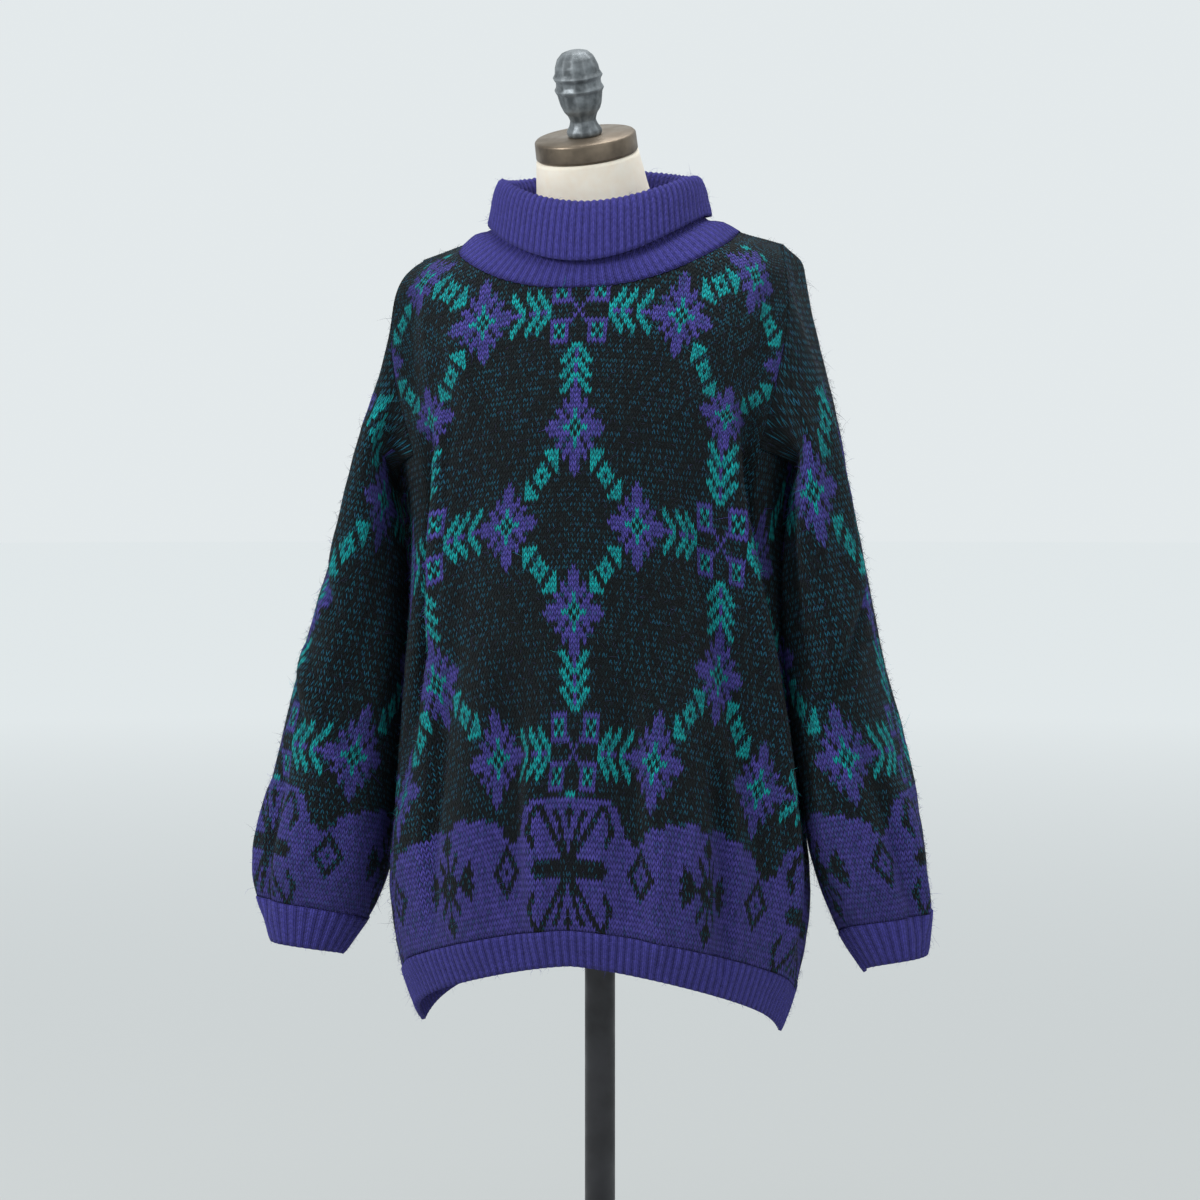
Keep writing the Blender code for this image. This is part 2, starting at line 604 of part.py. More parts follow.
def build_hem(sheets):
    """Ribbed hems of the front and back, which meet at the side seams."""
    columns = np.array([-column for column in HALF_COLUMNS[:0:-1]] + HALF_COLUMNS)
    steps = np.arange((len(columns) - 1) * RIB_STEPS + 1) / RIB_STEPS
    fine = np.interp(steps, range(len(columns)), columns)
    seams = []
    for panel in ("front", "back"):
        line = seam_line([(sheets[panel], sheets[panel].foot)])
        seams.append(along_line(line, np.arange(len(columns)), steps))
    around = np.concatenate([seams[0][:-1], seams[1][:0:-1]])
    rings = []
    for row in HEM_RIB_ROWS:
        front, back = body_row("front", fine, row), body_row("back", fine, row)
        rings.append(np.concatenate([front[:-1], back[:0:-1]]))
    band = Band(around, rings, -1)
    half = len(fine) - 1
    for panel, first in (("front", 0), ("back", half)):
        picked = np.arange(first, first + half + 1) % (2 * half)
        loops = [band.ribbed(level, 1)[picked] for level in (0, 1, 2)]
        loops += [band.plain(level, -1)[picked][::RIB_STEPS] for level in (2, 1, 0)]
        for loop in loops:
            for end, beside in ((0, 1), (-1, -2)):
                step = loop[beside] - loop[end]
                loop[end] += step / np.linalg.norm(step) * SEAM_INSET
        build_loop_wall(f"hem_rib_{panel}", loops, False, "knit_violet")


def build_cuff(side, sheet):
    """A ribbed cuff, which draws the sleeve in."""
    count = CUFF_COARSE * CUFF_STEPS
    seam = seam_line([(sheet, sheet.foot)])
    if side == "right":
        seam = np.roll(seam[::-1], 1, axis=0)
    shares = np.arange(count) / count
    around = spread(seam, shares)
    turns = 2 * shares - 1
    if side == "right":
        turns = -turns
    rings = [sleeve_ring(side, turns, row) for row in CUFF_RIB_ROWS]
    band = Band(around, rings, -1)
    loops = [band.ribbed(level, 1) for level in (0, 1, 2)]
    loops += [band.plain(level, -1)[::CUFF_STEPS] for level in (2, 1, 0)]
    build_loop_wall(f"cuff_{side}", loops, True, "knit_violet")


def collar_hoop(hoop, shares):
    """Points round one level of the collar, from its front middle to the viewer's right."""
    across, out = round_shape(np.linspace(0, 360, CURVE_POINTS), 2)
    depth = np.where(out > 0, hoop.front, hoop.back)
    middle_z = np.where(out > 0, hoop.front_z, hoop.back_z)
    x, y = hoop.half_width * across, -depth * out
    z = hoop.side_z + (middle_z - hoop.side_z) * out**2 + hoop.roll * x
    ring = np.stack([x, y, z], axis=1)
    lengths = lengths_along(ring)
    return along_line(ring, lengths, shares * lengths[-1])


def build_collar(sheets):
    """The turtleneck: it flares to the neck seam, rises, and folds over on itself."""
    count = COLLAR_COARSE * COLLAR_STEPS
    front, back = sheets["front"], sheets["back"]
    seam = seam_line([(front, front.neck[:-1]), (back, back.neck[:0:-1])])
    seam = np.roll(seam, -(len(front.neck) // 2), axis=0)
    shares = np.arange(count) / count
    around = spread(seam, shares)
    rings = [collar_hoop(hoop, shares) for hoop in COLLAR]
    band = Band(around, rings, 1)
    last = len(COLLAR)
    outside, inside = [], []
    for level in range(last + 1):
        shows = level <= COLLAR_BASE_HOOPS
        outside.append(band.ribbed(level, 1) if shows else band.plain(level, 1)[::COLLAR_STEPS])
        shows = level >= COLLAR_RIM_HOOP
        inside.append(band.ribbed(level, -1) if shows else band.plain(level, -1)[::COLLAR_STEPS])
    build_loop_wall("collar", inside + outside[::-1], True, "knit_violet")


# --- the dress form ----------------------------------------------------------------------


def build_form():
    """Torso and neck in one, lofted through its outlines."""
    corners, faces = [], []
    across, out = round_shape(np.arange(FORM_SIDES) * 360 / FORM_SIDES, FORM_ROUNDNESS)
    for outline in FORM:
        x = outline.half_width * across
        y = -np.where(out > 0, outline.front, outline.back) * out
        z = outline.z + outline.tilt * y + outline.roll * x
        corners.append(np.stack([x + outline.shift_x, y + outline.shift_y, z], axis=1))
    for level in range(len(FORM) - 1):
        low, high = level * FORM_SIDES, (level + 1) * FORM_SIDES
        for k in range(FORM_SIDES):
            beside = (k + 1) % FORM_SIDES
            faces.append((low + k, low + beside, high + beside, high + k))
    faces.append(tuple(range(FORM_SIDES))[::-1])
    faces.append(tuple(range(len(FORM) * FORM_SIDES - FORM_SIDES, len(FORM) * FORM_SIDES)))
    add_mesh("form_torso", np.concatenate(corners), faces, "form_linen")


def build_turned(name, profile, sides, place, upright, paint):
    """A turned shape: a profile of (radius, height), screwed round its axis."""
    corners = [(0, 0, profile[-1][1])] + [(r, 0, z) for r, z in profile[::-1]] + [(0, 0, profile[0][1])]
    mesh = bpy.data.meshes.new(name)
    mesh.from_pydata(corners, [(k, k + 1) for k in range(len(corners) - 1)], [])
    obj = bpy.data.objects.new(name, mesh)
    bpy.data.collections[COLLECTION].objects.link(obj)
    screw = obj.modifiers.new("turn", "SCREW")
    screw.axis = "Z"
    screw.steps = screw.render_steps = sides
    screw.use_merge_vertices = True
    screw.merge_threshold = 1e-5
    obj.location = place
    obj.rotation_mode = "QUATERNION"
    obj.rotation_quaternion = Vector((0, 0, 1)).rotation_difference(upright)
    mesh.materials.append(MATERIALS[paint])
    return obj


def build_stand():
    """Cap and finial on the leaning neck, and the pole and base under the torso."""
    neck = FORM[-1]
    upright = Vector((-neck.roll, -neck.tilt, 1)).normalized()
    middle = Vector((neck.shift_x, neck.shift_y, neck.z))
    cap_height = CAP_PROFILE[-1][1]
    build_turned("neck_cap", CAP_PROFILE, 36, middle + upright * FIT_GAP, upright, "cap_bronze")
    seat = middle + upright * (cap_height + 2 * FIT_GAP)
    build_turned("finial", FINIAL_PROFILE, FINIAL_SIDES, seat, upright, "cast_metal")
    foot = BASE_PROFILE[-1][1] + FIT_GAP
    top = FORM[0].z - FIT_GAP - foot
    pole = [
        (POLE_RADIUS, 0),
        (POLE_RADIUS, top - FLANGE_HEIGHT),
        (FLANGE_RADIUS, top - FLANGE_HEIGHT / 3),
        (FLANGE_RADIUS, top),
    ]
    level = Vector((0, 0, 1))
    build_turned("pole", pole, 24, (0, 0, foot), level, "stand_metal")
    build_turned("base", BASE_PROFILE, 32, (0, 0, 0), level, "stand_metal")


# --- the part ----------------------------------------------------------------------------


def make_material(name, paint):
    material = bpy.data.materials.new(name)
    material.use_nodes = True
    shader = material.node_tree.nodes["Principled BSDF"]
    shader.inputs["Base Color"].default_value = (*paint.colour, 1)
    shader.inputs["Roughness"].default_value = paint.roughness
    shader.inputs["Metallic"].default_value = paint.metallic
    return material


def add_mesh(name, corners, faces, paint):
    mesh = bpy.data.meshes.new(name)
    mesh.from_pydata(np.asarray(corners, float).tolist(), [], faces)
    mesh.shade_smooth()
    mesh.set_sharp_from_angle(angle=math.radians(50))
    mesh.materials.append(MATERIALS[paint])
    obj = bpy.data.objects.new(name, mesh)
    bpy.data.collections[COLLECTION].objects.link(obj)
    return obj


def build_sweater():
    sheets = {
        "front": panel_sheet("front"),
        "back": panel_sheet("back"),
        "left": sleeve_sheet("left"),
        "right": sleeve_sheet("right"),
    }
    share_normals(sheets.values())
    for panel in ("front", "back"):
        build_sheet_wall(f"{panel}_panel", sheets[panel], "knit_ground")
    for side in ("left", "right"):
        build_sheet_wall(f"sleeve_{side}", sheets[side], "knit_ground")
        build_cuff(side, sheets[side])
    build_hem(sheets)
    build_collar(sheets)


for leftover in list(bpy.data.objects):
    bpy.data.objects.remove(leftover, do_unlink=True)
bpy.context.scene.collection.children.link(bpy.data.collections.new(COLLECTION))
MATERIALS = {name: make_material(name, paint) for name, paint in PAINTS.items()}
build_sweater()
build_form()
build_stand()
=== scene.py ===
"""The looks of a knitted turtleneck sweater on its dress form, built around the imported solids.

Metres, +Z up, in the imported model's frame: the form faces -Y and stands on z = 0.
A place on the knitting is (column, row). The shape tables count columns of 4.7 mm, and
the charts count stitches, 100 of them for 74 columns. Row 0 runs through the top motif.
Left and right are the viewer's, who looks along +Y.
"""

import math
from collections import namedtuple

import bpy
import numpy as np
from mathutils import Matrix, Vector
from mathutils.kdtree import KDTree


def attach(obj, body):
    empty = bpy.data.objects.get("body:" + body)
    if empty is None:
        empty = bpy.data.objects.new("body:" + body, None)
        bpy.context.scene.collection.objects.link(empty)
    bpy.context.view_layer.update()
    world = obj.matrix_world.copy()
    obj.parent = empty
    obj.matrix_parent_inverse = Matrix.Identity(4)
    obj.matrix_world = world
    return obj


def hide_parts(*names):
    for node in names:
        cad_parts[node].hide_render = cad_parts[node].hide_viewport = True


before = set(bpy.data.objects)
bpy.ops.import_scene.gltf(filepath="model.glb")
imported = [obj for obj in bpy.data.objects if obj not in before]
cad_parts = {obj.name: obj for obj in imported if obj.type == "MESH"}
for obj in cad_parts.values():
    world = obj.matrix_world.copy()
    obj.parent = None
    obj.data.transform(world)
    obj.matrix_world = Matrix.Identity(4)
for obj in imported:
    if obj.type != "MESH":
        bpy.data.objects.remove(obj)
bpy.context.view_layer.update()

SEED = 11

# Stitches
LEG_RISE = 0.7  # rows that a stitch's legs rise from its middle to its sides
ROW_HEIGHT = 0.0058
SAMPLE_STEP = 0.5  # rows between the samples that a panel's points are read from
HEAD_STEPS = 22  # steps of the sleeve's head
NECK_ROUNDS = 3  # rounds in which the neckline's rows are found
NECK_POINTS = 153  # points that half the neck seam is measured with
BOTTOM_ROW = -109
RIB_END_ROW = -116
KNIT_THICKNESS = 0.0024
RIB_THICKNESS = 0.0030
SEAM_REACH = 0.003  # border points this near to each other lie on one seam
WALE_GROOVE = 0.00035
UNEVENNESS = 0.0004
RIB_POINTS = 8  # points round each rib
RIB_POWER = 0.75
RIB_WOBBLE = 0.12
RIB_END_SHARE = 0.45  # relief left at a rib's cast-off end
HEM_RIBS = 76
HEM_LEVELS = 9
CUFF_RIBS = 30
CUFF_LEVELS = 9
COLLAR_RIBS = 92
COLLAR_STEPS = (4, 3, 4, 4, 3, 3, 5, 5)  # levels from each of its hoops to the next

# Flecks of the second yarn: material, the share of flecked stitches, and what the sides add
KNITS = {"panel": ("wool_knit", 0.38, 0.12), "sleeve": ("wool_knit_sleeves", 0.50, 0.05)}

# The halo: hairs per square metre, and their sizes
HALO = {
    "front_panel": 14500, "back_panel": 9500, "sleeve_left": 19000, "sleeve_right": 19000,
    "hem_rib_front": 36000, "hem_rib_back": 20000, "cuff_left": 32000, "cuff_right": 32000,
    "collar": 33000,
}
HAIR_LENGTH = 0.0085
HAIR_RADIUS = 0.00013
HAIR_SPREAD = (0.45, 0.9)  # the shortest hair and the longest one's lead over it, in lengths
HAIR_ROOT = 0.4  # depth of the roots, as a share of the wall from its middle out
HAIR_LIFT = (0.15, 0.95)
HAIR_BEND = 0.7
HAIR_DROOP = 0.5
HAIR_TAPER = 0.75  # width of a hair at its middle
STRAY_SHARE = 0.05
STRAY_STRETCH = 2.2

# The form
FORM_STEPS = 4
FORM_FINE_SIDES = 72
TURNED_SIDES = 72
EDGE_RADIUS = 0.0012  # rounding of the turned shapes' corners
EDGE_SHARE = 0.45  # the most of a short side that a rounding takes
EDGE_STEPS = 4

# Colours


def linear(*channels):
    """A linear colour with full alpha, from its 8-bit sRGB values."""
    shares = [channel / 255 for channel in channels]
    return (*(c / 12.92 if c <= 0.04045 else ((c + 0.055) / 1.055) ** 2.4 for c in shares), 1)


YARNS = {  # by their marks in the charts; g is the ground and r the ribbing
    "g": linear(18, 32, 36),
    "v": linear(77, 71, 158),
    "t": linear(10, 160, 164),
    "d": linear(15, 24, 33),
    "r": linear(66, 63, 141),
}
YARN_CODES = {mark: code for code, mark in enumerate(YARNS)}
GROUND_DEEP = linear(8, 15, 19)
FLECK_TEAL = linear(14, 136, 146)
FLECK_BLUE = linear(26, 84, 112)
HAIR_LIGHT = linear(112, 110, 180)
HAIR_DARK = linear(14, 18, 22)
LINEN_DARK = linear(248, 234, 212)
LINEN_LIGHT = linear(254, 249, 236)
LINEN_STAIN = linear(232, 217, 196)
METALS = {  # dark, light and worn colour, roughness, metal share, scale of the clouds
    "aged_bronze": ((66, 58, 50), (116, 104, 90), (150, 136, 118), 0.42, 0.75, 45),
    "cast_metal": ((72, 77, 80), (126, 132, 136), (170, 176, 180), 0.5, 0.6, 90),
    "satin_black": ((24, 24, 26), (44, 44, 48), (86, 86, 90), 0.45, 0.5, 30),
}
# painted shade on the floor near the stand, and the floor's own pale colour far off
FLOOR_PAINTED_SHADE = linear(186, 188, 187)
FLOOR_LIGHT = linear(252, 253, 253)
WORLD_COLOUR = linear(236, 242, 244)
WORLD_STRENGTH = 0.92
WOOL = {"Roughness": 0.95, "Sheen_Weight": 0.03, "Sheen_Roughness": 0.5, "Specular_IOR_Level": 0.15}

# The studio
CAMERA_AZIMUTH = 10  # degrees towards the viewer's right
CAMERA_DISTANCE = 3.2
CAMERA_HEIGHT = 1.15
CAMERA_AIM = 1.0118  # height on the form's axis that is in the middle of the view
VIEW_WIDTH = 1.26  # width of the view at the form's axis
VIEW_END = 50
FLOOR_RADII = (0.0, 1.2, 2.4, 4.0, 6.0, 9.0, 14.0, 24.0, 45.0)
FLOOR_SIDES = 96
FLOOR_NEAR = 1.2  # the floor's painted shade near the stand gives way to its pale colour between these distances from the pole
FLOOR_FAR = 11.0
LIGHTS = [  # name, watts, size, place, target
    ("key", 54, 1.0, (-2.0, -1.9, 2.5), (0, 0, 1.1)),
    ("fill", 12, 1.6, (2.4, -2.4, 1.5), (0, 0, 1.0)),
    ("top", 25, 1.4, (0.3, 0.1, 3.0), (0, 0, 1.2)),
]

# Cloth pieces knitted plain rather than ribbed: the flat size of each cut, in metres
FLAT_SIZES = {
    "front_panel": (0.70, 0.80),
    "back_panel": (0.70, 0.80),
    "sleeve_left": (0.45, 0.70),
    "sleeve_right": (0.45, 0.70),
}

# --- the charts: v violet, t teal, d dark, and . whatever lies under them

FLOWER_PETAL = [  # the upper petal and the middle row of a flower; the others are turned
    "........v........",
    ".......vvv.......",
    ".......vvv.......",
    ".....v.vvv.v.....",
    ".....vvvvvvv.....",
    "......vvtvv......",
    ".......vtv.......",
    ".......t.t.......",
    "........t........",
]
BLOCK_SQUARE = [
    "vvvvv",
    "vt.tv",
    "v.t.v",
    "vt.tv",
    "vvvvv",
]
CHEVRON = [  # points up
    "...ttt...",
    "..ttvtt..",
    ".tt.v.tt.",
    "tt.....tt",
]
LINK = [  # leans to the right
    ".....tttt",
    "......ttt",
    "....t..tt",
    "...ttt..t",
    "..tt.tt..",
    "t..ttt...",
    "tt..t....",
    "ttt......",
    "tttt.....",
]
HOOKED_MOTIF = [  # right half of the upper part, from its middle column; it is mirrored twice
    "d........ddd..",
    "dd..dd..dd.dd.",
    "d..dd..dd...d.",
    "d..d..dd....dd",
    "..dd.dd.....dd",
    "..d.dd.....dd.",
    ".dddd......d..",
    ".ddd..........",
    "ddd...........",
]
HOOKED_BAR = ["ddddddddddd...", "dddddddddddd..", "ddddddddddd..."]
SNOWFLAKE = [  # right half, upper part with its middle row last
    "d..........",
    "dd.........",
    "ddd........",
    "dd.........",
    "d...d......",
    "d..dd......",
    "d.dd.....d.",
    "ddd....ddd.",
    "dddd..ddddd",
    ".ddddddddd.",
]
DIAMOND = [
    "d....",
    "dd...",
    ".dd..",
    "..dd.",
    "d..dd",
]

STITCHES_TO_SIDE = 100  # stitches from the middle of a panel to its side seam
STITCHES_TO_ARMHOLE = 59
SLEEVE_STITCHES = 60  # from the sleeve's outer edge to its inner seam
BLOCK_STEP = (44, 40)  # a block at each second crossing of a lattice with these steps
FLOWER_STEP = (26, 23)  # from a block to its flowers, sideways and up
CHEVRON_STARTS = ((8, 11, 15), (7, 10, 13))  # first stitch of each, sideways and up
LINK_STEPS = ((35, 9), (9, 31))
LOWEST_ROW = -9  # below this row, and past a column below another, the lowest blocks are bare
LOWEST_LINK = (30, -5)
PANEL_PATTERN_TOP = 25
SLEEVE_PATTERN_TOP = -27  # above it the sleeves are plain
BAND_ROW = -99  # middle of the border band
# The band's scalloped top, from the middle of a hooked motif to that of a snowflake
BAND_TOP = [
    (0, -88), (13, -89), (15, -90), (16, -92), (17, -94), (19, -95),
    (22, -94), (24, -92), (26, -91), (30, -90), (36, -89), (41, -90),
]

# How a panel's stitches lie on its surface, row by row: the shape tables' columns that
# stitches 26, 44 and 59 reach on each side, and how many rows the knitting sinks there.
Drape = namedtuple(
    "Drape", "row left_26 left_44 left_59 left_sink right_26 right_44 right_59 right_sink"
)
DRAPES = [Drape(*line) for line in (
    (-109, 17.5, 29, 41, 0, 19.5, 32, 40, 0),
    (-99, 17.5, 29, 41.5, 1, 19.5, 32, 40, 0.5),
    (-80, 18, 32, 46, 2, 18.5, 31.5, 42, 0.5),
    (-63, 21.5, 36, 47.5, 3, 20.5, 34, 44, 1),
    (-40, 24.5, 41, 50.5, 2, 22, 36, 47, 0.5),
    (-22, 23.5, 40, 50, 0, 22.8, 37.3, 50, 0),
    (-9, 23.5, 40.5, 50, 2, 23.5, 38.5, 50, 5),
    (0, 24, 42, 50, 3.5, 24.5, 40, 50, 7),
    (17, 24.5, 42.5, 50, 6.5, 25, 43, 50, 9.5),
    (28, 24.5, 42, 50, 7, 24.5, 42, 50, 10),
)]
DRAPE_STITCHES = (26, 44, 59)
SINK_START = 26  # the stitch from which the rows sink, and the one where they have sunk
SINK_END = 53
# The sleeves' rows are stretched above the band, and their stitches run slightly round them
STRETCH_ROW = -80
SLEEVE_STRETCH = 1.15
TWIST_ROWS = (-109, -80, -25)
SLEEVE_TWISTS = {"left": (14, 11.5, 23), "right": (0.5, 1.5, 13.5)}  # stitches, at those rows

# Cloth
RIB_RELIEF = 0.0013  # a rib stands this much proud of its wall
SEAM_INSET = 0.0003  # each piece stops this far short of its seam

# The knitted rows and columns at which a panel changes
SIDE_COLUMN = 74  # side seam
ARMHOLE_COLUMN = 50  # straight edge of the armhole
NECK_COLUMN = 38  # where the shoulder seam meets the collar
SHOULDER_ROW = 28
UNDERARM_ROW = -22
NECK_DIP = {"front": 23, "back": 9}  # rows from the shoulder seam down to the collar
BODY_SAG_POWER = 1.5  # how a knitted row sinks from the middle towards the side
BODY_ROUNDNESS = 2.25  # 2 is an ellipse, more is squarer
FOLD_FADE_POWER = 0.6  # how fast a fold fades out at its ends: less is more sudden
SIDE_FADE_POWER = 10  # keeps folds off the side seams, where front and back must meet
CURVE_POINTS = 361  # points that a round outline is measured with

CAP_START_ROW = -25  # where the sleeve's rounded head begins
CAP_TOP_ROW = 7
CAP_SIDE_ROW = -23
CAP_SHARE = 0.75  # turn at which the sleeve's head has come down to its side row
CAP_BULGE = (-0.020, 0.010)  # how the sleeve's head rounds out over the shoulder: x, z
UNDERARM_ARCH = (0.010, 0.016)  # and how it arches over the underarm: x, z
SLEEVE_SAG_POWER = 2.2
SLEEVE_ROUNDNESS = 2.2

# One knitted row round the body: heights at its side and its two middles, half the width,
# and the depths in front of and behind the axis. `roll` lifts the viewer's right.
Level = namedtuple("Level", "row side_z front_z back_z half_width front back roll")
BODY = [Level(*line) for line in (
    (-116, 0.562, 0.652, 0.622, 0.191, 0.168, 0.16, 0),
    (-109, 0.606, 0.69, 0.662, 0.206, 0.182, 0.172, 0),
    (-103, 0.642, 0.725, 0.697, 0.214, 0.185, 0.175, 0),
    (-95, 0.69, 0.775, 0.745, 0.22, 0.186, 0.176, 0),
    (-80, 0.783, 0.866, 0.836, 0.214, 0.182, 0.172, 0),
    (-57, 0.922, 1.005, 0.975, 0.203, 0.174, 0.16, 0),
    (-40, 1.026, 1.097, 1.074, 0.197, 0.166, 0.152, 0),
    (-30, 1.094, 1.147, 1.13, 0.198, 0.16, 0.146, 0.01),
    (-22, 1.146, 1.194, 1.18, 0.209, 0.152, 0.14, 0.02),
    (-10, 1.206, 1.256, 1.246, 0.237, 0.136, 0.134, 0.03),
    (0, 1.258, 1.307, 1.3, 0.257, 0.12, 0.124, 0.03),
    (14, 1.318, 1.38, 1.374, 0.273, 0.076, 0.098, 0.03),
    (22, 1.333, 1.406, 1.4, 0.278, 0.034, 0.07, 0.03),
    (28, 1.34, 1.42, 1.42, 0.281, -0.012, 0.012, 0.03),
)]

# Soft folds between two places, as (top place, top row, low place, low row, half width, height):
# ridges, or troughs where the height is below 0. A panel's places are columns.
FOLDS = {
    "front": [
        (34, -12, 60, -112, 11, 0.016), (47, -22, 70, -104, 9, -0.018),
        (-34, -22, -38, -74, 8, 0.01), (-43, -24, -47, -84, 8, -0.013),
        (-42, -60, -48, -112, 9, 0.009), (-13, -62, -13, -114, 8, -0.01),
        (-23, -58, -26, -114, 8, 0.009), (13, -62, 14, -114, 8, -0.009),
        (25, -64, 29, -114, 9, 0.008),
    ],
    "back": [
        (-30, -14, -40, -112, 12, 0.014), (-48, -30, -56, -106, 9, -0.015),
        (28, -10, 34, -112, 12, 0.013), (46, -24, 52, -110, 9, -0.015),
        (-12, -50, -14, -112, 9, -0.01), (8, -66, 10, -112, 9, 0.009),
    ],
}

# Finer creases, which the solids leave out
CREASES = {
    "front": [
        (38, -12, 60, -106, 4.5, 0.013), (44, -14, 67, -100, 4.5, -0.02),
        (31, -30, 47, -96, 5, -0.0075), (56, -50, 68, -88, 4, 0.0075),
        (-37, -14, -40, -58, 4, 0.011), (-42, -18, -46, -70, 4.5, -0.018),
        (-48, -30, -52, -72, 4, 0.006), (-33, -64, -37, -108, 4.5, -0.012),
        (-56, -58, -62, -104, 5, -0.0105), (-9, -72, -8, -114, 4, 0.008),
        (19, -66, 21, -113, 4.5, 0.01), (34, -74, 38, -112, 4.5, -0.012),
        (46, 12, 43, -14, 5, -0.0075), (-45, 12, -44, -14, 5, -0.0075), (33, 6, 27, -22, 6, 0.0045),
        (-32, 4, -27, -20, 6, 0.0045),
    ],
    "back": [
        (-34, -12, -46, -70, 5, 0.0075), (-42, -18, -50, -84, 5, -0.012),
        (34, -10, 40, -66, 5, 0.0075), (41, -16, 49, -90, 5, -0.012),
        (-20, -40, -24, -100, 6, 0.0075), (18, -54, 22, -112, 6, -0.009),
        (-2, -72, 0, -113, 5, 0.0075), (60, -50, 64, -100, 5, -0.009),
        (-62, -46, -64, -98, 5, -0.009), (24, 14, 16, -18, 7, -0.006),
        (-22, 16, -14, -22, 7, -0.006),
    ],
}

# One knitted row round a sleeve. x is the distance from the form's axis. A sleeve's inner
# half hangs flatter than its outer one, beside the body.
Ring = namedtuple("Ring", "row outer_x outer_z inner_x inner_z middle_y half_depth inner_roundness")
SLEEVES = {
    "right": [Ring(*line) for line in (
        (-116, 0.343, 0.646, 0.28, 0.626, 0.004, 0.034, 2.2),
        (-109, 0.347, 0.692, 0.254, 0.666, 0.004, 0.052, 2.4),
        (-103, 0.343, 0.727, 0.24, 0.698, 0.002, 0.066, 2.7),
        (-95, 0.3375, 0.775, 0.227, 0.74, 0, 0.076, 4),
        (-80, 0.316, 0.862, 0.219, 0.82, 0, 0.086, 4.6),
        (-57, 0.287, 0.996, 0.207, 0.95, 0, 0.094, 4.6),
        (-40, 0.266, 1.1, 0.2065, 1.046, 0, 0.098, 4.2),
        (-25, 0.248, 1.19, 0.215, 1.122, 0, 0.1, 2.3),
    )],
    "left": [Ring(*line) for line in (
        (-116, 0.358, 0.644, 0.282, 0.63, 0.004, 0.034, 2.2),
        (-109, 0.369, 0.692, 0.255, 0.668, 0.004, 0.05, 2.4),
        (-103, 0.369, 0.728, 0.239, 0.699, 0.002, 0.066, 2.7),
        (-95, 0.361, 0.776, 0.228, 0.741, 0, 0.076, 3),
        (-80, 0.34, 0.863, 0.219, 0.821, 0, 0.086, 3),
        (-57, 0.302, 0.997, 0.207, 0.951, 0, 0.094, 3),
        (-40, 0.266, 1.101, 0.2065, 1.047, 0, 0.096, 2.7),
        (-25, 0.235, 1.19, 0.215, 1.122, 0, 0.098, 2.1),
    )],
}
SIDE_SIGN = {"left": -1, "right": 1}

# A sleeve's places are turns: 0 is its outer edge, 0.5 its front, -0.5 its back, and 1 and -1
# are both its inner seam.
SLEEVE_FOLDS = {
    "right": [
        (0.34, -10, 0.2, -60, 0.16, 0.01), (0.66, -32, 0.56, -84, 0.15, -0.009),
        (0.62, -62, 0.44, -106, 0.16, 0.008), (-0.66, -32, -0.5, -86, 0.16, -0.009),
    ],
    "left": [
        (0.44, -10, 0.36, -58, 0.16, 0.008), (0.66, -34, 0.54, -86, 0.15, -0.009),
        (0.58, -66, 0.42, -106, 0.16, 0.009), (-0.64, -34, -0.52, -88, 0.16, -0.009),
    ],
}

SLEEVE_CREASES = {
    "right": [
        (0.8, -20, 0.82, -84, 0.14, 0.008), (0.2, -44, 0.48, -66, 0.12, 0.005),
        (0.2, -52, 0.54, -72, 0.1, -0.009), (0.38, -78, 0.26, -112, 0.09, -0.009),
        (0.22, -84, 0.12, -112, 0.09, 0.0075), (-0.16, -30, -0.4, -56, 0.12, -0.009),
        (-0.3, -62, -0.14, -92, 0.11, 0.0075), (-0.34, -84, -0.3, -112, 0.09, -0.009),
    ],
    "left": [
        (0.14, -40, 0.48, -58, 0.1, -0.0075), (0.22, -62, 0.56, -80, 0.1, 0.0075),
        (0.3, -80, 0.22, -112, 0.09, -0.009), (0.12, -88, 0.06, -112, 0.08, 0.0075),
        (-0.18, -34, -0.42, -60, 0.12, -0.009), (-0.26, -58, -0.12, -88, 0.11, 0.0075),
        (-0.38, -82, -0.28, -112, 0.09, -0.009),
    ],
}

# The collar's cross-section, followed from near the neck seam up, over and down again.
Hoop = namedtuple("Hoop", "half_width front back front_z side_z back_z roll")
COLLAR = [Hoop(*line) for line in (
    (0.13, 0.106, 0.086, 1.346, 1.398, 1.408, 0.035),
    (0.1125, 0.096, 0.083, 1.362, 1.402, 1.417, 0.03),
    (0.1, 0.087, 0.078, 1.383, 1.42, 1.435, 0.01),
    (0.0955, 0.084, 0.076, 1.409, 1.44, 1.456, 0),
    (0.1025, 0.09, 0.083, 1.4195, 1.451, 1.466, 0),
    (0.1085, 0.097, 0.0895, 1.409, 1.44, 1.456, 0.004),
    (0.112, 0.104, 0.0925, 1.384, 1.424, 1.435, 0.018),
    (0.1155, 0.1085, 0.0945, 1.36, 1.408, 1.42, 0.032),
)]

